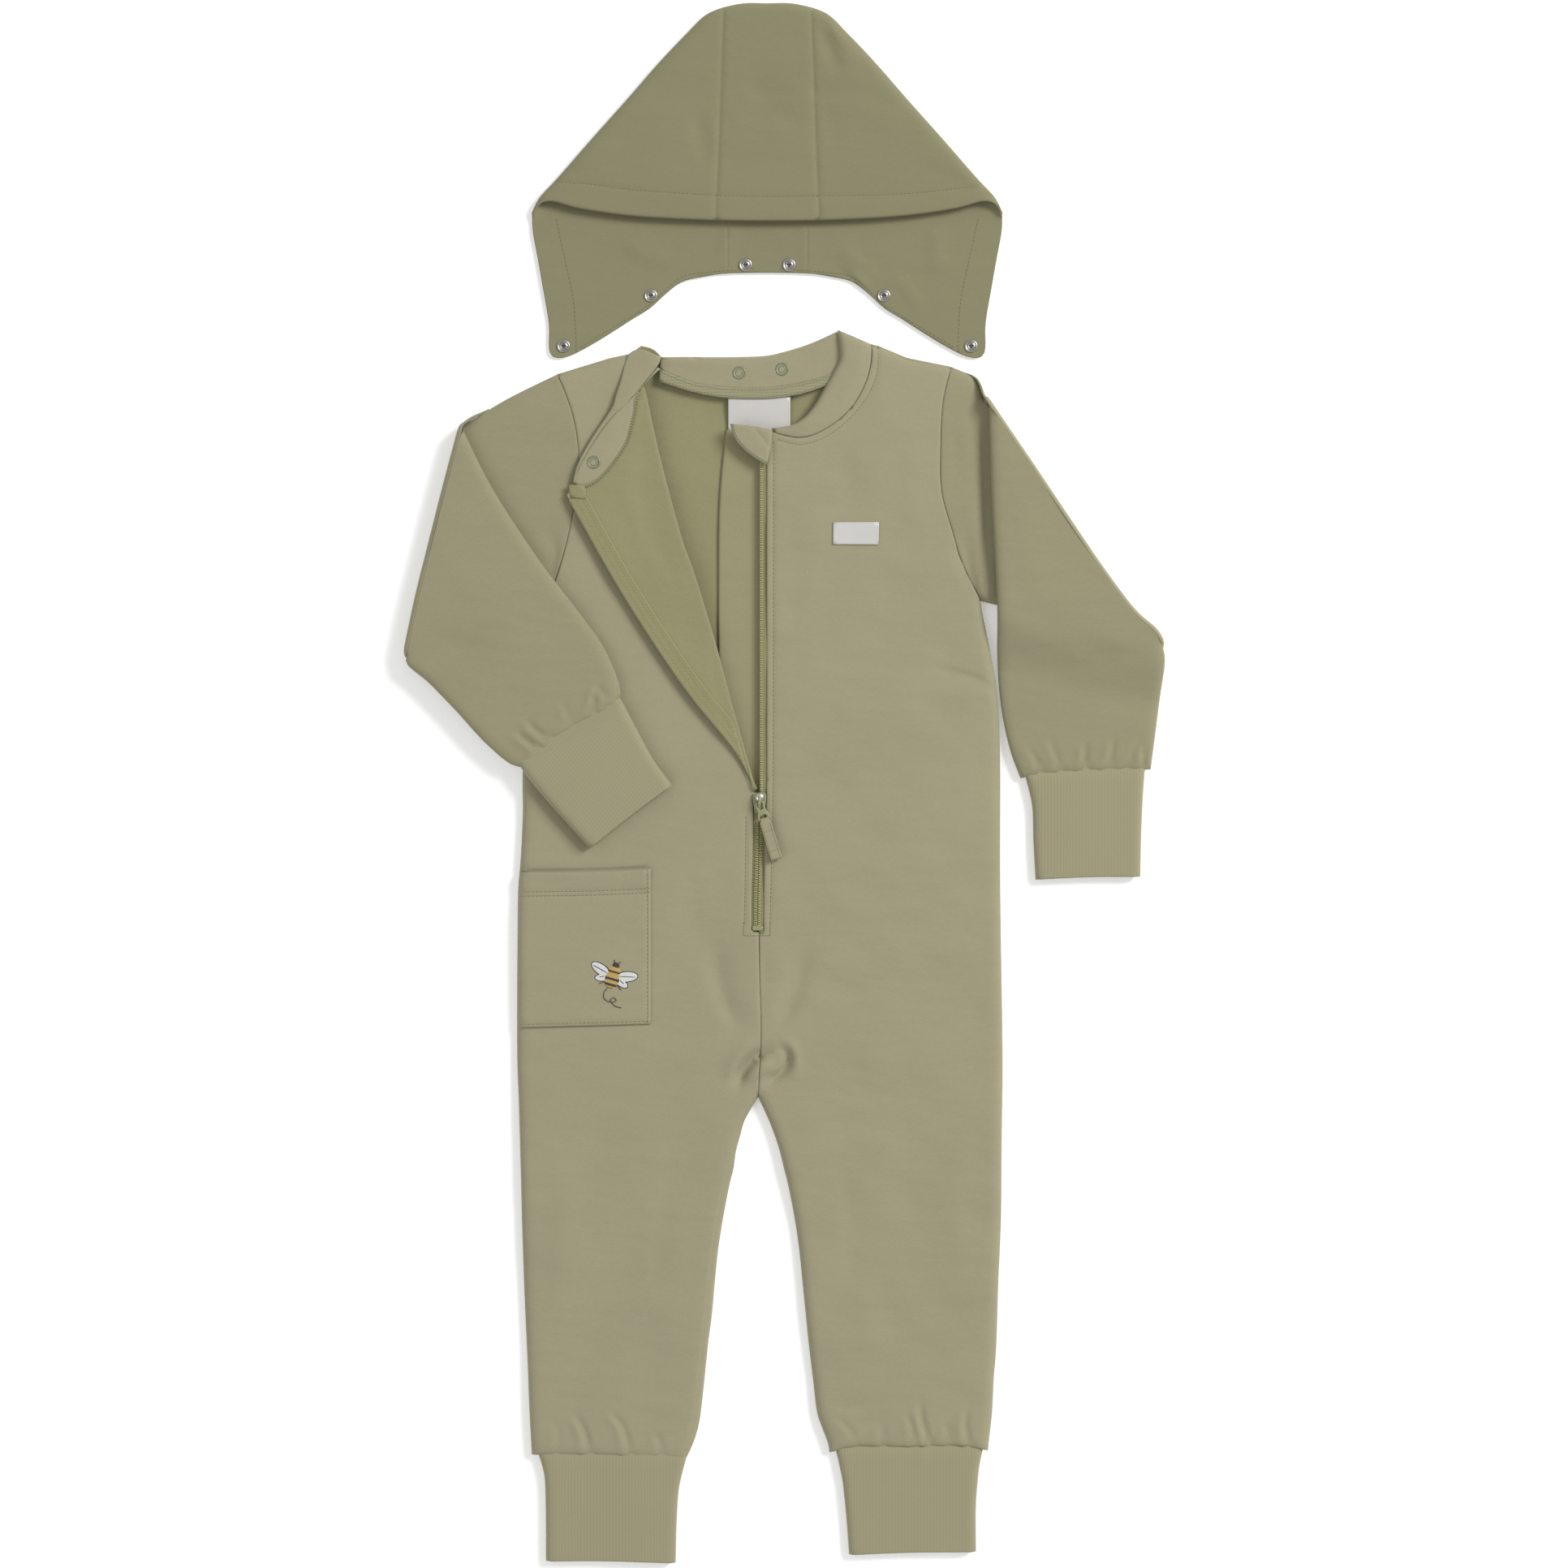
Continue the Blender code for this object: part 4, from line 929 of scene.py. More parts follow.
left_lower = closed_tube("sleeve_left_lower_cloth", lower_l, lower_left_top,
                         lambda p: LIFT + UNDER - drape(p),
                         lambda p: LIFT + SEAM_Z - drape(p), [SLEEVE_FACE, INSIDE], fine=[(hem_l, 34)])
settle(left_lower, "lower_left_sleeve", ["sleeve_left_lower"])
over_shoulder = curve([(143, 296), (155, 290), fold_l[0]])
left_roll = roll("elbow_roll_left_cloth", np.vstack([over_shoulder[:-1], fold_l, [fold_l[-1] + [-0.6, -6]]]),
                 UNDER, SLEEVE_TOP - DIP, ROLL, [SLEEVE_FACE, INSIDE],
                 (length_of(over_shoulder), SEAM_Z - 0.3), (6.0, 13.2))
left_pleat = roll("elbow_pleat_left_cloth", beside(fold_l, -0.3), TOP_LOW - 0.6, 9.7, 0.1, [SLEEVE_FACE],
                  thickness=0.5)

upper_r = [("seam", ARMHOLE_R[::-1]), ("side", line_of([(-156, 127), fold_r[-1]])), ("open", fold_r[::-1]),
           ("side", curve([fold_r[0], (-180, 276), (-144.4, 293.5)]))]
right_upper = upper_sleeve("sleeve_right_upper_cloth", upper_r,
                           [(((-150, 140), (-146, 165), (-152, 190)), -1.2, 4.0, 0.2)], 85, 41)
settle(right_upper, "suit", ["sleeve_right_upper"])

under_r = curve([fold_r[-1], (-251, 84.7), (-237, 73), (-225.6, 61.5), (-214.6, 50), (-204, 38),
                 (-193, 26.7), (-179, 15), (-170, 12)])
hem_r = curve([(-170, 12), (-158, 20), (-145, 33), (-123, 46.5), (-111, 52), (-99.2, 60.3)])
over_r = curve([(-99.2, 60.3), (-100.3, 72.5), (-110.8, 97), (-127.6, 121), (-157, 159.5), (-190, 210),
                fold_r[0] - [0, 5]])
lower_r = [("side", under_r), ("hem", hem_r), ("side", over_r),
           ("open", np.vstack([[fold_r[0] - [0, 5]], fold_r[2:]]))]


def lower_right_top(points):
    rows = gathered(WRIST_R, *WRIST_GATHERS) + [
        (((-230, 180), (-196, 130), (-150, 90)), 0.5, 15, 0.2),
        (((-246, 92), (-226, 100), (-196, 96)), -0.7, 7.0, 0.3, True),
        (((-238, 150), (-216, 160), (-190, 160)), -0.5, 9.0, 0.0, True),
    ]
    return np.minimum(sleeve_folds(points, rows, SLEEVE_TOP - DIP, 95, 51, 0.35), SLEEVE_TOP + 0.2)


right_lower = closed_tube("sleeve_right_lower_cloth", lower_r, lower_right_top, level(LIFT + UNDER),
                          level(LIFT + SEAM_Z), [SLEEVE_FACE, INSIDE], fine=[(hem_r, 34)])
settle(right_lower, "lower_right_sleeve", ["sleeve_right_lower"])
over_shoulder = curve([fold_r[0], (-204, 263), (-194, 268.5)])
right_roll = roll("elbow_roll_right_cloth",
                  np.vstack([[fold_r[-1] + [5, -6]], fold_r[::-1], over_shoulder[1:]]), UNDER,
                  SLEEVE_TOP - DIP, ROLL, [SLEEVE_FACE, INSIDE],
                  (7.8, 13.2), (length_of(over_shoulder), SEAM_Z - 0.3))
right_pleat = roll("elbow_pleat_right_cloth", beside(fold_r, 0.3)[::-1], TOP_LOW - 0.6, 9.7, 0.1,
                   [SLEEVE_FACE], thickness=0.5)

RIB_COLOUR = (0.294, 0.272, 0.163)
RIB_UP = rib("rib_knit_upright", RIB_COLOUR, (0, 1))
RIB_TURNED = rib("rib_knit_turned", RIB_COLOUR, (44, -56))


def cuff(name, body, node, left, right, low, finish, seed, puckers):
    """A doubled rib cuff. left and right are its sides, both from the hem to the open end."""
    left, right = curve(left), curve(right)
    up_left, up_right = left[0] - left[-1], right[0] - right[-1]
    left = np.vstack([left[:1] + up_left / np.linalg.norm(up_left) * 5, left])
    right = np.vstack([right[:1] + up_right / np.linalg.norm(up_right) * 5, right])
    top = line_of([right[0], left[0]])
    end = curve([left[-1], (left[-1] + right[-1]) / 2 + [0, 0.8], right[-1]])
    stretches = [("side", left), ("free", end), ("side", right[::-1]), ("open", top)]

    def upper(points):
        hem = nearest(points, top)[0]
        wave = sum(np.exp(-(nearest(points, line_of(line))[0] / 3.0) ** 2) for line in puckers)
        sewn = 1.5 * (1 - smooth((hem - 4) / 6))
        return low + BODY_TOP - 1.1 + ripples(points, 60, seed) * 0.22 - sewn + 0.6 * wave

    piece = closed_tube(name, stretches, upper, level(low + 0.3), level(low + SEAM_Z), [finish, finish],
                        radius=5.5, thickness=2.2)
    return settle(piece, body, [node])


cuffs = [
    cuff("ankle_cuff_left_rib", "suit", "ankle_cuff_left",
         [(54, -474), (58.6, -495), (60.3, -507), (62.5, -530), (64, -551.5)],
         [(160.5, -473), (158, -485), (156.6, -495), (154.9, -518.5), (155, -549.5)], 0, RIB_UP, 61,
         [((117, -478), (115, -486))]),
    cuff("ankle_cuff_right_rib", "suit", "ankle_cuff_right",
         [(-159.5, -476), (-156, -487), (-153.6, -500), (-153, -530), (-153, -556)],
         [(-51.5, -479), (-55.7, -495), (-58, -507), (-59.4, -530), (-60, -557.5)], 0, RIB_UP, 62, []),
    cuff("wrist_cuff_left_rib", "lower_left_sleeve", "wrist_cuff_left",
         [(189.5, 8), (195, -15), (196, -40), (197.5, -68.5)],
         [(276, 12), (274.5, -8), (273.3, -35), (272.6, -66.5)], 0, RIB_UP, 63, []),
    cuff("wrist_cuff_right_rib", "lower_right_sleeve", "wrist_cuff_right",
         [(-172, 14), (-160, -2), (-141, -24), (-121, -46)],
         [(-98, 59), (-88, 40), (-76, 18), (-62.3, -0.8)], LIFT, RIB_TURNED, 64, []),
]

declare(left_upper, wrap=2.0)
declare(right_upper, wrap=2.0)
declare(left_lower, 2.0)
declare(right_lower, 2.0)
for piece in cuffs:
    declare(piece, wrap=2.0)


# ---------------------------------------------------------------- the turned-out front

ZIP_LINE = curve([(-3.3, -5.0), (-8.6, 7), (-15.6, 19.5), (-24.5, 31.8), (-50.5, 63.5), (-79, 105),
                  (-105, 146.7), (-130.5, 192), (-136.4, 203), (-136.2, 213)])
OVERLOCK = curve([(-83.5, 284.2), (-88.6, 276), (-90.5, 264.5), (-92.8, 255), (-96.3, 243.6), (-104.4, 231),
                  (-113.7, 220), (-123.5, 213.8), (-131.8, 213)])


def turned_out(line, gap, top):
    """The part of a line that lies more than gap beyond the lapel's fold, and below top."""
    away, _, side = nearest(line, LAPEL)
    return line[(away > gap) & (side > 0) & (line[:, 1] < top)]


cloth_edge = turned_out(beside(ZIP_LINE, -4.4), 2.5, 212.5)
flap_outline = [("open", LAPEL), ("seam", OVERLOCK),
                ("free", np.vstack([OVERLOCK[-1:], cloth_edge[::-1], LAPEL[:1]]))]
FLAP_LOW = 11.6                      # height of its face where it isn't raised


def flap_height(points):
    """The turned-out front's upper face, highest along its zip."""
    away = nearest(points, ZIP_LINE)[0]
    from_fold = nearest(points, LAPEL)[0]
    narrow = smooth((points[:, 1] + 2) / 60)
    lower = 1 - 0.5 * smooth((points[:, 1] - 180) / 30)
    rise = 1.1 * smooth(1 - away / 34) * narrow * smooth(from_fold / 14) * lower
    slack = ripples(points, 60, 71) * 0.28 * smooth(from_fold / 10)
    folds = creases(points, [(((-78, 262), (-84, 200), (-62, 140)), -0.7, 7.0, 0.2),
                             (((-98, 226), (-84, 180), (-60, 120)), 0.5, 6.0)])
    return FLAP_LOW - 1.4 * (1 - narrow) + rise + slack + folds


flap = cloth("front_flap_cloth", flap_outline, lambda p: flap_height(p) - edge_drop(p, flap_outline),
             [INSIDE, FACE], fine=[(ZIP_LINE, 16)])
settle(flap, "front_flap", ["front_flap_right"])
lapel_roll = roll("lapel_roll_cloth", LAPEL[::-1], 6.2, flap_height, 1.5, [INSIDE, FACE],
                  stops=(9.0, 8.0))
declare(flap)

tape_in = turned_out(beside(ZIP_LINE, -12.8), 1.0, 212)
tape_in = np.vstack([beside(LAPEL, 0.8)[LAPEL[:, 1] < tape_in[0, 1] - 3], tape_in])
tape_lines = [turned_out(beside(ZIP_LINE, -shift), 2.0, 206) for shift in (3.6, 7.6)]
tape_outline = [("tape", ZIP_LINE), ("tape", line_of([ZIP_LINE[-1], tape_in[-1]])),
                ("tape", np.vstack([tape_in[::-1], ZIP_LINE[:1]]))]
flap_tape = cloth("zip_tape_right_upper_weave", tape_outline,
                  lambda p: flap_height(p) + 0.62 - edge_drop(p, tape_outline)
                  - grooves(p, tape_lines, 0.22, 0.7),
                  [TAPE], sewn=tape_lines, thickness=0.55, spacing=4.0)
settle(flap_tape, "front_flap", ["zip_tape_right_upper"])
patch = boxed("tape", [(-136.4, 213.8), (-125.2, 213.2), (-124.0, 203.6), (-135.0, 204.4)])
end_patch = cloth("zip_tape_end_patch_weave", patch, lambda p: flap_height(p) + 1.35 - edge_drop(p, patch),
                  [TAPE], thickness=0.6, spacing=2.5)
settle(end_patch, "front_flap", ["zip_tape_end_patch"])


# ---------------------------------------------------------------- collars

collar_free = curve([(56, 324.8), (57.6, 306), (53.4, 295.8), (47.6, 285.4), (41.8, 275), (36, 266.8),
                     (30.2, 261), (22.6, 256.6), (9, 254.5)])
collar_l = [("seam", NECK_L), ("side", line_of([(80, 314.5), (66.5, 320.5), (56, 324.8)])),
            ("side", collar_free), ("seam", line_of([(9, 254.5), (9, 251.5)]))]
collar_left = closed_tube("collar_left_cloth", collar_l,
                          lambda p: BODY_TOP + 0.2 + 1.5 * smooth(nearest(p, NECK_L)[0] / 9)
                          + ripples(p, 50, 81) * 0.2,
                          level(3.9), level(6.6), [FACE, FACE], radius=4.5, spacing=3.5)
settle(collar_left, "suit", ["collar_left_outer", "collar_left_inner"])

back_low = curve([(-72, 296), (-60, 290.6), (-41, 284.8), (-5, 281.9), (24, 284.8), (47.3, 290.6),
                  (62, 298)])
back_top = curve([(57, 325), (44, 318.8), (31.3, 313.8), (16.8, 309.5), (2.3, 306.6), (-26.7, 305.8),
                  (-50, 306), (-70.2, 305.8)])
collar_b = [("seam", back_low), ("seam", line_of([(62, 298), (57, 325)])), ("side", back_top),
            ("seam", line_of([(-70.2, 305.8), (-72, 296)]))]
collar_back = closed_tube("collar_back_cloth", collar_b,
                          lambda p: 6.1 + ripples(p, 45, 83) * 0.2, level(0.3), level(2.6), [FACE, FACE],
                          sewn=[beside(back_top, 2.6)[8:-8]], radius=3.5, spacing=3.5)
settle(collar_back, "suit", ["collar_back_outer", "collar_back_inner"])

free_inner = curve([(-132.8, 213.6), (-128.4, 226.8), (-118.2, 244.2), (-106.6, 260.1), (-93.6, 273.2),
                    (-82, 286.2), (-72, 298.2)])
seam_inner = np.vstack([line_of([(-70.5, 296.5), (-78, 289.5)]), OVERLOCK])
collar_ri = [("seam", seam_inner), ("free", np.vstack([seam_inner[-1:], free_inner, seam_inner[:1]]))]


def collar_rise(points):
    return flap_height(points) + 0.8 + 0.9 * smooth(nearest(points, OVERLOCK)[0] / 12)


collar_inner = cloth("collar_right_inner_cloth", collar_ri,
                     lambda p: collar_rise(p) - edge_drop(p, collar_ri), [FACE, FACE], spacing=3.0)
settle(collar_inner, "front_flap", ["collar_right_inner"])
outer_edge = curve([(-133.6, 213), (-130, 228), (-120, 246.6), (-109.6, 262), (-104.5, 270.3),
                    (-102.6, 277.5), (-99, 289), (-96.6, 299.3), (-92.7, 308), (-84.7, 311), (-78.9, 308.5),
                    (-70.2, 305)])
inner_side = curve([(-70.2, 305), (-72.5, 299), (-82, 287), (-94, 272.5), (-106, 258), (-117, 241),
                    (-127, 224), (-133.6, 213)])
collar_ro = [("free", outer_edge), ("open", inner_side)]


def collar_outer_height(points):
    away = nearest(points, free_inner)[0]
    return flap_height(points) + 1.0 - 3.6 * smooth(away / 24) + ripples(points, 40, 85) * 0.2


collar_outer = cloth("collar_right_outer_cloth", collar_ro,
                     lambda p: collar_outer_height(p) - edge_drop(p, collar_ro),
                     [FACE, FACE], spacing=3.0)
settle(collar_outer, "front_flap", ["collar_right_outer"])

tape_top = beside(back_low, 1.2)
tape_bottom = curve([(-72, 288), (-60, 284), (-48.5, 280.5), (-26.7, 276.4), (2.3, 275.4), (27, 278.3),
                     (47.3, 284.8), (62, 292)])
neck_band = [("free", tape_bottom), ("free", line_of([(62, 292), tape_top[-1]])), ("free", tape_top[::-1]),
             ("free", line_of([tape_top[0], (-72, 288)]))]
neck_tape = cloth("neck_tape_weave", neck_band,
                  lambda p: 6.9 + ripples(p, 50, 87) * 0.1 - edge_drop(p, neck_band),
                  [NECK_TAPE], spacing=3.5, thickness=1.0)
settle(neck_tape, "suit", ["neck_tape"])

label = boxed("open", [(-22.4, 253), (22, 253), (22, 277.4), (-22.4, 277.4)])
size_label = cloth("size_label_satin", label,
                   lambda p: 5.4 + 0.3 * np.sin((p[:, 0] + 22) / 14) - 1.9 * smooth((277 - p[:, 1]) / 24),
                   [SATIN], spacing=3.0, thickness=0.35)
settle(size_label, "suit", ["size_label"])

facing = [("side_fold", curve([(-23.8, 254.4), (-28.6, 206.5), (-29.6, 140), (-29, 76), (-26, 0),
                               (-20, -106)])),
          ("open", line_of([(-20, -106), (4, -106), (4, 250)])),
          ("seam", line_of([(4, 250), (-23.8, 254.4)]))]
facing_cloth = cloth("placket_facing_cloth", facing,
                     lambda p: 4.0 + 0.4 * smooth((p[:, 0] + 5) / 8) + ripples(p, 70, 89) * 0.1
                     - edge_drop(p, facing),
                     [FACING, FACING], spacing=4.5, thickness=1.6)
settle(facing_cloth, "suit", ["placket_facing"])

guard_edge = curve([(-20.9, 257.3), (-18, 247.1), (-10.8, 238.4), (-2.1, 231.9), (5.2, 227.5)])
guard = [("guard", guard_edge), ("guard", line_of([(5.2, 227.5), (8, 240), (9.4, 252.9)])),
         ("guard", curve([(9.4, 252.9), (-5, 255.5), (-20.9, 257.3)]))]
guard_seam = curve([(-4, 254), (2, 247), (7, 240)])
chin_guard = cloth("chin_guard_cloth", guard,
                   lambda p: 12.3 - edge_drop(p, guard) - grooves(p, [guard_seam], 0.5),
                   [FACE, FACE], sewn=[guard_seam], spacing=2.5, thickness=2.0)
settle(chin_guard, "suit", ["chin_guard"])

for piece, under in ((collar_left, "front_left_cloth"), (collar_back, "floor"),
                     (collar_inner, "front_flap_cloth"), (collar_outer, "front_right_cloth"),
                     (neck_tape, "collar_back_cloth"), (size_label, "back_left_cloth"),
                     (facing_cloth, "back_right_cloth"), (chin_guard, "front_left_cloth")):
    declare(piece, wrap=2.0 if piece in (collar_left, collar_back) else 1.0)


# ---------------------------------------------------------------- the zip

def teeth(name, line, inward, z, body, nodes, pitch=1.3, under=False):
    """A row of nylon coil along a line, each tooth reaching inward from it."""
    run = spaced(line, pitch)
    out = normals_of(run) * inward
    lift = -0.25 if under else 0.25
    ends = [((*(place + way * 0.1), z(place) + lift), (*(place + way * 2.5), z(place) - lift))
            for place, way in zip(run, out)]
    piece = new_object(name, *capsules(ends, 0.85, 1.15), [COIL])
    return settle(piece, body, nodes)


def strip_of(name, x_in, x_out, low, high, top, body, node):
    """A zip tape between two distances from the chain, from low to high along it."""
    rows = np.linspace(low, high, 24)
    near = np.column_stack([chain_x(rows) + x_in, rows])
    far = np.column_stack([chain_x(rows) + x_out, rows])
    outline = [("tape", near), ("tape", line_of([near[-1], far[-1]])), ("tape", far[::-1]),
               ("tape", line_of([far[0], near[0]]))]
    piece = cloth(name, outline, level(top), [TAPE], spacing=4.0, thickness=0.7)
    declare(piece)
    return settle(piece, body, [node])


SLIDER_Y = -13.6                     # the slider's middle
TAPE_Z, COIL_Z = 7.3, 8.2            # heights of the tapes' faces and the coil's middle
strip_of("zip_tape_left_weave", 0.7, TAPE_EDGE, ZIP_END - 4, 249, TAPE_Z, "suit", "zip_tape_left")
strip_of("zip_tape_right_lower_weave", -TAPE_EDGE, -0.7, ZIP_END - 4, SLIDER_Y + 7, TAPE_Z, "suit",
         "zip_tape_right_lower")
rows = np.linspace(COIL_END, COIL_TOP, 120)
teeth("zip_coil_left_teeth", np.column_stack([chain_x(rows) - 0.1, rows]), -1, lambda p: COIL_Z, "suit",
      ["zip_coil_left"])
rows = np.linspace(COIL_END + 0.65, SLIDER_Y + 6, 54)
teeth("zip_coil_right_lower_teeth", np.column_stack([chain_x(rows) + 0.1, rows]), 1, lambda p: COIL_Z,
      "suit", ["zip_coil_right_lower"])
turned_edge = beside(ZIP_LINE, 0.2)[1:-4]
teeth("zip_coil_right_upper_teeth", turned_edge, -1, lambda p: float(flap_height(np.array([p]))[0]) - 0.9,
      "front_flap", ["zip_coil_right_upper"], under=True)
sewing = [np.column_stack([chain_x(rows) + shift, rows]) for shift in (2.3, -2.3)]
sewing.append(line_of([(2.3, 8), (2.3, COIL_TOP)]))
coil_thread = []
for line in sewing:
    run = spaced(line, 2.6)
    coil_thread += [((x, y - 0.9, COIL_Z + 0.62), (x, y + 0.9, COIL_Z + 0.62)) for x, y in run]
settle(new_object("zip_coil_sewing_thread", *capsules(coil_thread, 0.4, 0.3), [PALE_THREAD]), "suit")


def rod(name, path, wide, tall, finish, sides=12):
    """A smooth bent bar, flat or round, with its path in an upright plane along the zip."""
    path = line_of(path)
    ahead = np.gradient(path, axis=0)
    ahead /= np.linalg.norm(ahead, axis=1, keepdims=True)
    up = np.cross((1.0, 0.0, 0.0), ahead)
    turns = np.linspace(0, 2 * math.pi, sides, endpoint=False)
    flat = np.outer(np.cos(turns), (wide / 2, 0, 0))
    rings = [at + flat + np.outer(np.sin(turns) * tall / 2, way) for at, way in zip(path, up)]
    count = len(path)
    faces = [(r * sides + k, r * sides + (k + 1) % sides, (r + 1) * sides + (k + 1) % sides,
              (r + 1) * sides + k) for r in range(count - 1) for k in range(sides)]
    return new_object(name, np.vstack(rings), faces, [finish])


def stop(node, x, y, low, high, body, **place):
    """A crimped metal stop, from its sides along x and y."""
    corners = [(x[0], y[0]), (x[1], y[0]), (x[1], y[1]), (x[0], y[1])]
    crimp = plate(f"{node}_crimp", corners, low, high, 0.4, PAINT, smooth_steps=2, **place)
    settle(crimp, body, [node])


stop("zip_bottom_stop", (-4.9, 1.9), (-104.6, -101.4), 7.6, 9.3, "suit")
stop("zip_top_stop_left", (0.4, 3.2), (228.4, 231.6), 7.4, 9.2, "suit")
stop("zip_top_stop_right", (-1.4, 1.4), (-1.6, 1.6), 11.0, 12.8, "front_flap",
     pivot=ZIP_LINE[-5] + [1.2, -1], turn=math.radians(20))

wings = [(-4.3, 6.7), (-2.2, 7.5), (2.2, 7.5), (4.3, 6.7), (4.8, 4.4), (4.5, 0), (3.5, -5.6), (2.5, -7.4),
         (-2.5, -7.4), (-3.5, -5.6), (-4.5, 0), (-4.8, 4.4)]
web = [(-1.2, 7), (-0.2, 7), (-0.2, 4.4), (-0.8, 4.4)]
for name, outline, low, high, bevel, nodes in (("top_plate", wings, 9.35, 10.6, 0.35, ["zip_slider"]),
                                               ("under_plate", wings, 5.0, 6.0, 0.3, []),
                                               ("web", web, 5.6, 9.6, 0.2, [])):
    settle(plate(f"zip_slider_{name}", outline, low, high, bevel, PAINT, pivot=(0, SLIDER_Y)), "slider",
           nodes)
crown_profile = [(3.6, 0), (3.65, 0.5), (3.5, 1.2), (3.0, 2.1), (2.2, 2.75), (1.2, 3.1), (0, 3.2)]
settle(turned("zip_slider_crown", crown_profile, 0, SLIDER_Y + 4.2, 10.3, BRIGHT), "slider")
arch = [(0, SLIDER_Y - 4.6 + 8.4 * t, 10.3 + 4.2 * math.sin(math.pi * min(1.0, t * 0.62 + 0.04)) ** 0.6)
        for t in np.linspace(0, 1, 14)]
settle(rod("zip_slider_bridge", arch, 1.9, 1.1, PAINT), "slider")
PULL_TURN = math.radians(17)
pull_outline = [(-2.6, 0.9), (2.6, 0.9), (3.6, -0.4), (3.1, -3.6), (3.2, -6.4), (4.1, -9.6), (4.0, -12.4),
                (2.6, -13.6), (-2.6, -13.6), (-4.0, -12.4), (-4.1, -9.6), (-3.2, -6.4), (-3.1, -3.6),
                (-3.6, -0.4)]
keyhole = [(-1.5, -0.4), (1.5, -0.4), (1.6, -2.6), (1.2, -4.6), (-1.2, -4.6), (-1.6, -2.6)]
eye = [(2.9 * math.cos(a), -10.0 + 1.4 * math.sin(a) - 0.5 * abs(math.cos(a)))
       for a in np.linspace(0, 2 * math.pi, 12, endpoint=False)]
on_pull = {"pivot": (0, SLIDER_Y), "turn": PULL_TURN}
pull = plate("zip_pull_plate", pull_outline, 11.7, 12.95, 0.4, PAINT, [keyhole, eye], **on_pull)
settle(pull, "pull", ["zip_pull"])
tab_outline = [(-2.4, -11.2), (2.4, -11.2), (3.2, -13.4), (4.0, -14.6), (4.1, -28), (4.0, -41.6),
               (-4.0, -41.2), (-4.1, -28), (-4.0, -14.6), (-3.2, -13.4)]
tab = plate("pull_tab_cloth", tab_outline, 13.0, 14.0, 0.4, FACE, smooth_steps=1, **on_pull)
settle(tab, "pull", ["pull_tab"])
under_outline = [(-3.9, -14.8), (3.9, -14.8), (3.8, -42.4), (-3.9, -42.0)]
under_tab = plate("pull_tab_under_cloth", under_outline, 11.4, 12.9, 0.45, FACE, smooth_steps=1, **on_pull)
settle(under_tab, "pull")


def turned_line(points, angle):
    """A line on the pull, turned with it about the slider."""
    c, s = math.cos(angle), math.sin(angle)
    return line_of([(x * c - y * s, x * s + y * c + SLIDER_Y) for x, y in points])


tab_lines = [((x, -16), (x, -40.4)) for x in (-3.0, 3.0)] + [((-3.2, y), (3.2, y)) for y in (-21, -35.4)]
stitches("pull_tab_stitches", [turned_line(line, PULL_TURN) for line in tab_lines], [tab], THREAD, "pull",
         1.9, 1.5, 0.35)


# ---------------------------------------------------------------- pocket and labels

pocket_side = line_of([(-77.7, -171.5), (-77.4, -115), (-77.7, -60.3)])
pocket_low = curve([(-171.6, -174.3), (-140, -173.4), (-110, -172.6), (-77.7, -171.5)])
pocket_outline = [("free", pocket_top), ("seam", line_of([(-171.6, -63.2), (-171.6, -174.3)])),
                  ("seam", pocket_low), ("seam", pocket_side)]
hem_lines = [curve([(-79, -74.6), (-120, -76.4), (-170.5, -77.2)]),
             curve([(-79, -77.6), (-120, -79.4), (-170.5, -80.2)])]
pocket_seams = [line_of([(-79.9, -62), (-79.9, -169.5)]),
                curve([(-79.9, -169.4), (-125, -170.9), (-170.5, -171.9)])]


def pocket_height(points):
    away = nearest(points, pocket_top)[0]
    lift = 0.9 * smooth(1 - away / 16)
    sewn = grooves(points, hem_lines + pocket_seams, 0.4)
    return front_right_height(points) + 1.75 + lift - edge_drop(points, pocket_outline) - sewn


pocket = cloth("thigh_pocket_cloth", pocket_outline, pocket_height, [FACE, INSIDE],
               sewn=hem_lines + pocket_seams, spacing=4.5)
settle(pocket, "suit", ["thigh_pocket"])
declare(pocket)
chest = boxed("tape", [(52.6, 187), (52.4, 171.2), (85, 171), (85.4, 187.2)])
chest_label = cloth("chest_label_woven", chest,
                    lambda p: front_height(front_left, [], 1)(p) + 0.95 - edge_drop(p, chest), [SATIN],
                    spacing=3.0, thickness=0.5)
settle(chest_label, "suit", ["chest_label"])
declare(chest_label)
declare(flap_tape)

# A plain embroidered bee: generic, without lettering.
YELLOW = thread("yellow_embroidery", (0.44, 0.30, 0.085))
DARK = thread("dark_embroidery", (0.035, 0.03, 0.028))
WHITE = thread("white_embroidery", (0.6, 0.6, 0.59))
on_pocket = surface([pocket])
BEE = np.array((-104.6, -137.0))
BEE_TURN = math.radians(74)
BEE_SCALE = 1.1


def bee_place(x, y):
    c, s = math.cos(BEE_TURN), math.sin(BEE_TURN)
    return BEE + np.array((x * c - y * s, x * s + y * c)) * BEE_SCALE


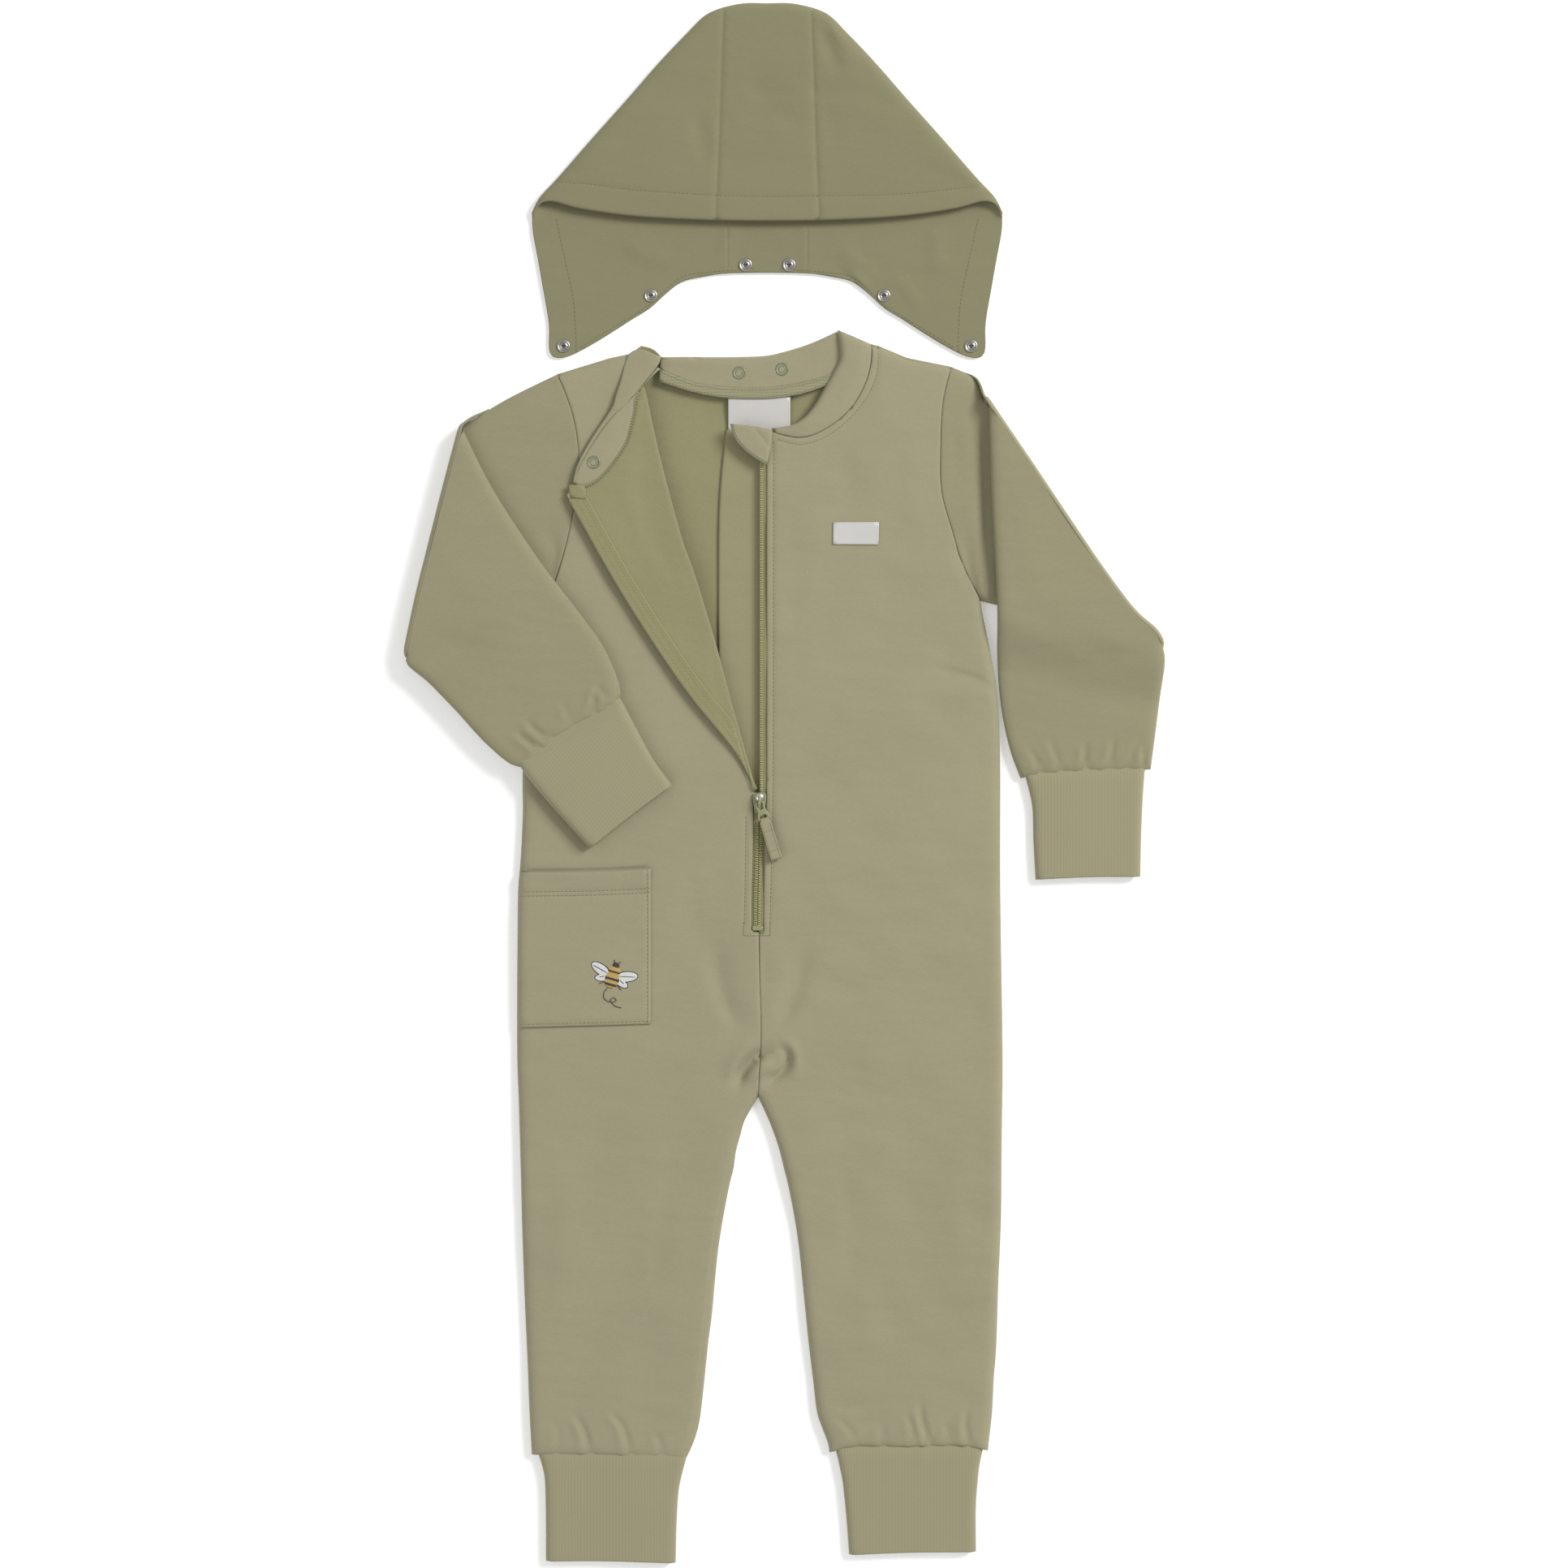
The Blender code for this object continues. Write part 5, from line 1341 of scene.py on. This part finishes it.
def dome(name, centre, size, angle, rise, finishes, band=None, lift=0.05):
    """A padded ellipse of embroidery, banded if band is given."""
    points, faces = [], []
    around, rings = 48, 14
    c, s = math.cos(angle), math.sin(angle)
    for ring in range(rings + 1):
        share = ring / rings
        for k in range(around):
            a = 2 * math.pi * k / around
            u, v = size[0] * share * math.cos(a), size[1] * share * math.sin(a)
            x, y = bee_place(centre[0] + u * c - v * s, centre[1] + u * s + v * c)
            low = on_pocket(x, y) or BODY_TOP + CLOTH
            points.append((x, y, low + lift + rise * math.sqrt(max(0, 1 - share ** 2))))
    for ring in range(rings):
        for k in range(around):
            a, b = ring * around + k, ring * around + (k + 1) % around
            faces.append((a, a + around, b + around, b))
    piece = new_object(name, points, faces, finishes)
    if band:
        for i, polygon in enumerate(piece.data.polygons):
            ring, k = divmod(i, around)
            u = size[0] * (ring + 0.5) / rings * math.cos(2 * math.pi * (k + 0.5) / around)
            polygon.material_index = int(any(low < u < high for low, high in band))
    weld(piece, 0.001)
    return settle(piece, "suit")


RIM = 0.6                            # how far a wing's dark edge shows around it
for side in (-1, 1):
    for name, (x, y), (long, wide), angle in (("fore", (1.6, 8.2), (7.5, 3.1), 1.22),
                                              ("hind", (-3.0, 6.3), (4.7, 2.1), 1.9)):
        edge = (long + RIM, wide + RIM)
        dome(f"bee_{name}_wing_edge_{side + 1}", (x, side * y), edge, side * angle, 0.1, [DARK])
        dome(f"bee_{name}_wing_{side + 1}", (x, side * y), (long, wide), side * angle, 0.2, [WHITE],
             lift=0.12)
dome("bee_body", (-2.6, 0), (5.9, 5.0), 0, 0.7, [YELLOW, DARK], ((-4.2, -2.6), (-0.4, 1.2), (-7.5, -5.3)),
     lift=0.1)
dome("bee_shoulders", (3.2, 0), (3.4, 4.3), 0, 0.75, [YELLOW, DARK], ((-1.2, 0.0), (2.6, 3.6)), lift=0.12)
dome("bee_head", (7.0, 0), (1.9, 2.3), 0, 0.7, [DARK], lift=0.1)
# Feelers, legs and a vein in each fore wing.
halves = (((8.4, 0.9), (10.2, 2.4)), ((2.8, 3.4), (4.8, 6.2)), ((-5.0, 4.0), (-7.6, 7.6)),
          ((-1.6, 5.0), (-3.2, 8.4)), ((0.6, 3.6), (3.2, 14.4)))
lines = [((x0, side * y0), (x1, side * y1)) for (x0, y0), (x1, y1) in halves for side in (1, -1)]
trail = curve([(-8.6, 1.4), (-12, 2.6), (-15.6, 1.6), (-17.0, -2.6), (-15.2, -6.4), (-13.6, -4.6),
               (-15.6, -2.6), (-18.4, -6.4), (-18.6, -11)])
lines += list(zip(trail, trail[1:]))
bee_ends = []
for a, b in lines:
    a, b = bee_place(*a), bee_place(*b)
    bee_ends.append(((*a, on_pocket(*a) + 0.35), (*b, on_pocket(*b) + 0.35)))
settle(new_object("bee_legs_and_feelers", *capsules(bee_ends, 0.5, 0.4), [DARK]), "suit")


# ---------------------------------------------------------------- the hood

HOOD_X = 5.5


def both_sides(half):
    """A line given from the middle outwards on the right, drawn from its left end to its right end."""
    half = np.asarray(half, float)
    return np.vstack([(half * [-1, 1])[:0:-1], half]) + [HOOD_X, 0]


crown = curve(both_sides([(0, 559), (20, 558.6), (42, 552), (57, 538), (77, 517), (101, 489.5),
                          (126, 461.5), (150, 434), (163, 420), (168.5, 409)]))
hood_hem = curve(both_sides([(0, 402.5), (38, 403), (75, 404.5), (105, 407), (135, 411.5), (154, 416.5),
                             (164, 414.5), (168.5, 409)]))
hood_side = curve([(168.5, 409), (168, 396), (164.5, 377), (161, 357), (156.5, 330), (156.4, 313),
                   (154, 306.5), (148, 305.2)], 5)
neck_half = curve([(148, 305.2), (139, 308), (124, 316), (107, 326.5), (97, 333), (84, 341), (73, 351),
                   (61, 360), (45, 363.8), (29, 366), (0, 366.6)], 5)
hood_neck = np.vstack([hood_side, neck_half[1:]])
hood_neck = np.vstack([hood_neck + [HOOD_X, 0], (hood_neck * [-1, 1] + [HOOD_X, 0])[::-1][1:]])


def one_each_side(*half):
    """A line on the left and its mirror image on the right."""
    return [curve([(HOOD_X + side * x, y) for x, y in half]) for side in (-1, 1)]


upper_seams = one_each_side((31.5, 553), (33, 510), (34.5, 463), (37, 406))
lower_seams = [line_of([(HOOD_X + side * 28.5, 545), (HOOD_X + side * 28.5, 368)]) for side in (-1, 1)]
hem_stitch = curve([(-150, 431), (-120, 428.8), (-92, 425), (-32, 421), (7, 420), (42, 420.5), (95, 421.5),
                    (130, 424.5), (158, 428)])
side_stitches = one_each_side((151, 404), (144.5, 374), (139, 348), (137, 322), (136.8, 311))
neck_edge = one_each_side((133, 313.6), (107, 329), (84, 343.5), (63, 362.2), (45, 366.4), (10, 369))
HOOD_EDGE, HOOD_RADIUS = 4.4, 8.0    # height and radius of the hood's rounded crown edge


def hood_round(points, z):
    """A layer of the hood, drawn to its crown edge."""
    return HOOD_EDGE + (z - HOOD_EDGE) * (1 - quarter(nearest(points, crown)[0] / HOOD_RADIUS))


def hood_upper(points):
    from_hem = nearest(points, hood_hem)[0]
    rows = [(((-42, 540), (-60, 500), (-96, 455)), 0.5, 12, 0.2),
            (((54, 530), (76, 490), (110, 450)), 0.5, 12),
            (((-150, 425), (-120, 440), (-90, 448)), -0.6, 6, 0.3, True),
            (((160, 424), (128, 438), (96, 446)), -0.6, 6, 0.3, True),
            (((42, 500), (52, 470), (56, 440)), -0.4, 5), (((20, 540), (14, 500), (18, 450)), 0.35, 9),
            (((40, 548), (48, 530), (58, 506)), -1.8, 3.4, 0.3),
            (((46, 548), (58, 530), (68, 510)), 1.0, 4),
            (((-14, 502), (6, 492), (26, 498)), -1.3, 6, 0.3),
            (((-14, 470), (8, 479), (32, 470)), -1.2, 6, 0.2),
            (((40, 494), (70, 492), (100, 484)), -1.1, 4, 0.3, True),
            (((-48, 486), (-41, 456), (-38, 436)), -1.1, 5, 0.2)]
    z = BODY_TOP - 0.5 + ripples(points, 110, 91) * 0.3
    z = z + creases(points, rows) + 0.5 * smooth(1 - from_hem / 20)
    z = z - grooves(points, upper_seams, 0.75, 1.3) - grooves(points, [hem_stitch], 0.35)
    return hood_round(points, z) - 1.2 * quarter(from_hem / 2.6) * smooth(nearest(points, crown)[0] / 12)


def hood_lower(points):
    from_seam = np.minimum(*(nearest(points, line)[0] for line in lower_seams))
    puffed = 0.6 * (np.exp(-(from_seam / 2.8) ** 2) - np.exp(-(from_seam / 0.9) ** 2))
    rows = [(((56, 386), (68, 375), (86, 362)), 1.5, 2.6), (((54, 377), (68, 366), (80, 353)), 1.3, 2.2),
            (((-34, 378), (-24, 389), (-10, 398)), 1.1, 3.0),
            (((-100, 392), (-84, 380), (-58, 374)), 1.1, 4.0),
            (((92, 368), (106, 354), (118, 338)), 1.2, 2.6),
            (((120, 400), (128, 384), (126, 362)), 1.0, 5.0)]
    return hood_round(points, UNDER + np.abs(ripples(points, 90, 93)) * 0.2 + puffed
                      + creases(points, rows))


hood = two_layers("hood_cloth",
                  ([("side", crown), ("free", hood_hem[::-1])], hood_upper,
                   {"sewn": upper_seams + [hem_stitch]}),
                  ([("side", crown), ("open", hood_neck)], hood_lower,
                   {"sewn": lower_seams + side_stitches + neck_edge}),
                  [HOOD_FACE, HOOD_FACE], CLOTH + 0.4)
settle(hood, "hood", ["hood_left_panel", "hood_centre_panel", "hood_right_panel"])
declare(hood, wrap=2.0)


# ---------------------------------------------------------------- snaps

SOCKET = [(4.75, 0), (4.75, 0.5), (4.5, 0.95), (4.0, 1.15), (3.5, 0.95), (3.25, 0.55), (2.9, 0.5),
          (2.6, 0.9), (2.25, 1.25), (1.85, 1.25), (1.55, 0.9), (1.5, 0.3), (0, 0.3)]
RING_CAP = [(4.7, 0), (4.7, 0.35), (4.35, 0.7), (3.95, 0.7), (3.6, 0.4), (3.5, 0.05)]
RING_INNER = [(2.7, 0), (2.65, 0.3), (2.35, 0.45), (2.1, 0.3), (2.05, 0.05)]
over_hood = surface([hood])
hood_places = {"side": (83.5, 350), "front": (146, 313.8), "back": (15.6, 372)}
for side, sign in (("left", 1), ("right", -1)):
    for place, (x, y) in hood_places.items():
        x = HOOD_X + sign * x
        low = over_hood(x, y) - 0.1
        socket = turned(f"hood_snap_{place}_{side}_socket", SOCKET, x, y, low, SILVER)
        settle(socket, "hood", [f"hood_snap_{place}_{side}"])
        # A dark disc over the socket's middle: painted shade in its hollow.
        shade_disc = turned(f"hood_snap_{place}_{side}_dish", [(2.95, 0.52), (2.6, 0.54), (0, 0.54)], x, y, low,
                      SHADE)
        settle(shade_disc, "hood")
        bars = [((x - 2.0, y + s, low + 0.95), (x + 2.0, y + s, low + 0.95)) for s in (-0.95, 0.95)]
        spring = new_object(f"hood_snap_{place}_{side}_spring", *capsules(bars, 0.5, 0.4), [SILVER])
        settle(spring, "hood")

for name, (x, y), body, under in (
        ("collar_snap_back_right", (-14.5, 294.3), "suit", collar_back),
        ("collar_snap_back_left", (16.2, 296.8), "suit", collar_back),
        ("collar_snap_front_right", (-118.2, 229.6), "front_flap", collar_inner)):
    low = surface([under])(x, y) - 0.12
    settle(turned(f"{name}_ring", RING_CAP, x, y, low, RING), body, [name])
    settle(turned(f"{name}_inner_ring", RING_INNER, x, y, low, RING), body)
for name, (x, y) in (("collar_snap_side_left", (67, 306)), ("collar_snap_front_left", (38, 259.5))):
    settle(turned(f"{name}_socket", [(r, 4.0 - z) for r, z in RING_CAP], x, y, 0, RING), "suit",
           [name])


# ---------------------------------------------------------------- stitches and seams

stitches("hood_hem_stitches", [hem_stitch], [hood], THREAD, "hood")
stitches("hood_edge_stitches", side_stitches + neck_edge, [hood], THREAD, "hood")
stitches("pocket_stitches", hem_lines + pocket_seams, [pocket], THREAD, "suit")
stitches("zip_stitches_left", [zip_stitch], [left_cloth], THREAD, "suit")
stitches("zip_stitches_right", [right_stitch], [right_cloth], THREAD, "suit")
stitches("zip_end_stitches", [line_of([(-11.4, -99.6), (-11.2, -108.4), (7.6, -108.4), (7.8, -99.6)]),
                              line_of([(-5, -100.4), (2.4, -100.4)])],
         [left_cloth, right_cloth], THREAD, "suit", 2.0, 1.7)
stitches("neckline_stitches", [neck_stitch], [left_cloth], THREAD, "suit", 2.6, 1.9, 0.4)
stitches("neck_tape_stitches", [beside(tape_bottom, 1.4), beside(back_low, -0.4)], [neck_tape], THREAD,
         "suit", 2.6, 1.9, 0.4)
stitches("chin_guard_stitches", [beside(guard_edge, 1.8)[2:-2]], [chin_guard], THREAD, "suit",
         2.4, 1.8, 0.35)
stitches("chest_label_stitches",
         [line_of([(53.6, 186.2), (53.4, 172.2), (84.2, 172), (84.5, 186.3), (53.6, 186.2)])],
         [chest_label], WHITE, "suit", 2.0, 1.5, 0.3)
stitches("flap_tape_stitches", [beside(ZIP_LINE, -11.6)[10:-6]] + tape_lines, [flap_tape], PALE_THREAD,
         "front_flap", 2.6, 1.9, 0.35)
stitches("end_patch_stitches", [line_of([(-126.4, 212), (-125.8, 205.6), (-129.4, 205.8), (-129.8, 212)])],
         [end_patch], PALE_THREAD, "front_flap", 1.9, 1.5, 0.35)

seam_run = spaced(OVERLOCK[4:-2], 1.15)
seam_left = normals_of(seam_run)
over_seam = surface([flap, collar_inner])
loops = []
for k, (place, way) in enumerate(zip(seam_run, seam_left)):
    a, b = place - way * 2.0, place + way * (2.4 if k % 2 else 1.7)
    base = max(over_seam(*place) or 0, float(flap_height(np.array([place]))[0])) + 0.45
    loops.append(((*a, base - 0.25), (*b, base + 0.1)))
chain_line = seam_run + seam_left * 1.9
chain = [((*a, high[2] + 0.1), (*b, high[2] + 0.1))
         for a, b, (_, high) in zip(chain_line, chain_line[1:], loops)]
settle(new_object("overlock_loops", *capsules(loops, 0.75, 0.6), [PALE_THREAD]), "front_flap")
settle(new_object("overlock_chain", *capsules(chain, 0.6, 0.5), [THREAD]), "front_flap")


# ---------------------------------------------------------------- the room

FLOOR_HALF, FLOOR_Z = 6.0, -0.0004   # metres
floor_mesh = bpy.data.meshes.new("floor")
corners = ((-1, -1), (1, -1), (1, 1), (-1, 1))
floor_mesh.from_pydata([(x * FLOOR_HALF, y * FLOOR_HALF, FLOOR_Z) for x, y in corners], [], [(0, 1, 2, 3)])
floor = bpy.data.objects.new("floor", floor_mesh)
bpy.context.scene.collection.objects.link(floor)
white = bpy.data.materials.new("pale_floor")
white.use_nodes = True
for socket, value in (("Base Color", (0.93, 0.93, 0.93, 1)), ("Roughness", 0.9),
                      ("Emission Color", (1, 1, 1, 1)), ("Emission Strength", 0.24)):
    white.node_tree.nodes["Principled BSDF"].inputs[socket].default_value = value
floor_mesh.materials.append(white)

world = bpy.context.scene.world or bpy.data.worlds.new("studio")
bpy.context.scene.world = world
world.use_nodes = True
backdrop = world.node_tree.nodes["Background"]
backdrop.inputs["Color"].default_value = (1.0, 1.0, 1.0, 1)
# The world lights the object less strongly than it shows behind it.
LIT, SHOWN = 0.51, 1.0
seen = world.node_tree.nodes.new("ShaderNodeLightPath")
strength = world.node_tree.nodes.new("ShaderNodeMapRange")
strength.inputs["To Min"].default_value = LIT
strength.inputs["To Max"].default_value = SHOWN
world.node_tree.links.new(seen.outputs["Is Camera Ray"], strength.inputs["Value"])
world.node_tree.links.new(strength.outputs["Result"], backdrop.inputs["Strength"])


def area_light(name, place, size, power):
    """A soft light that points at the object."""
    data = bpy.data.lights.new(name, "AREA")
    data.shape = "RECTANGLE"
    data.size, data.size_y = size
    data.energy = power
    made = bpy.data.objects.new(name, data)
    made.location = place
    made.rotation_mode = "QUATERNION"
    made.rotation_quaternion = (-Vector(place)).to_track_quat("-Z", "Y")
    bpy.context.scene.collection.objects.link(made)


area_light("key", (4.6, 3.0, 4.0), (2.3, 2.3), 400)
area_light("fill", (-4.4, -3.0, 4.8), (4.0, 4.0), 90)

camera_data = bpy.data.cameras.new("camera")
camera = bpy.data.objects.new("camera", camera_data)
bpy.context.scene.collection.objects.link(camera)
bpy.context.scene.camera = camera
CAMERA_HEIGHT, SEEN_WIDTH = 2.6, 1.12056     # metres above the suit, and across at its height
SENSOR = 36
camera.location = (0, 0, CAMERA_HEIGHT + BODY_TOP * MM)
camera_data.sensor_width = SENSOR
camera_data.lens = SENSOR * CAMERA_HEIGHT / SEEN_WIDTH
camera_data.clip_end = 20
bpy.context.scene.view_settings.view_transform = "Standard"
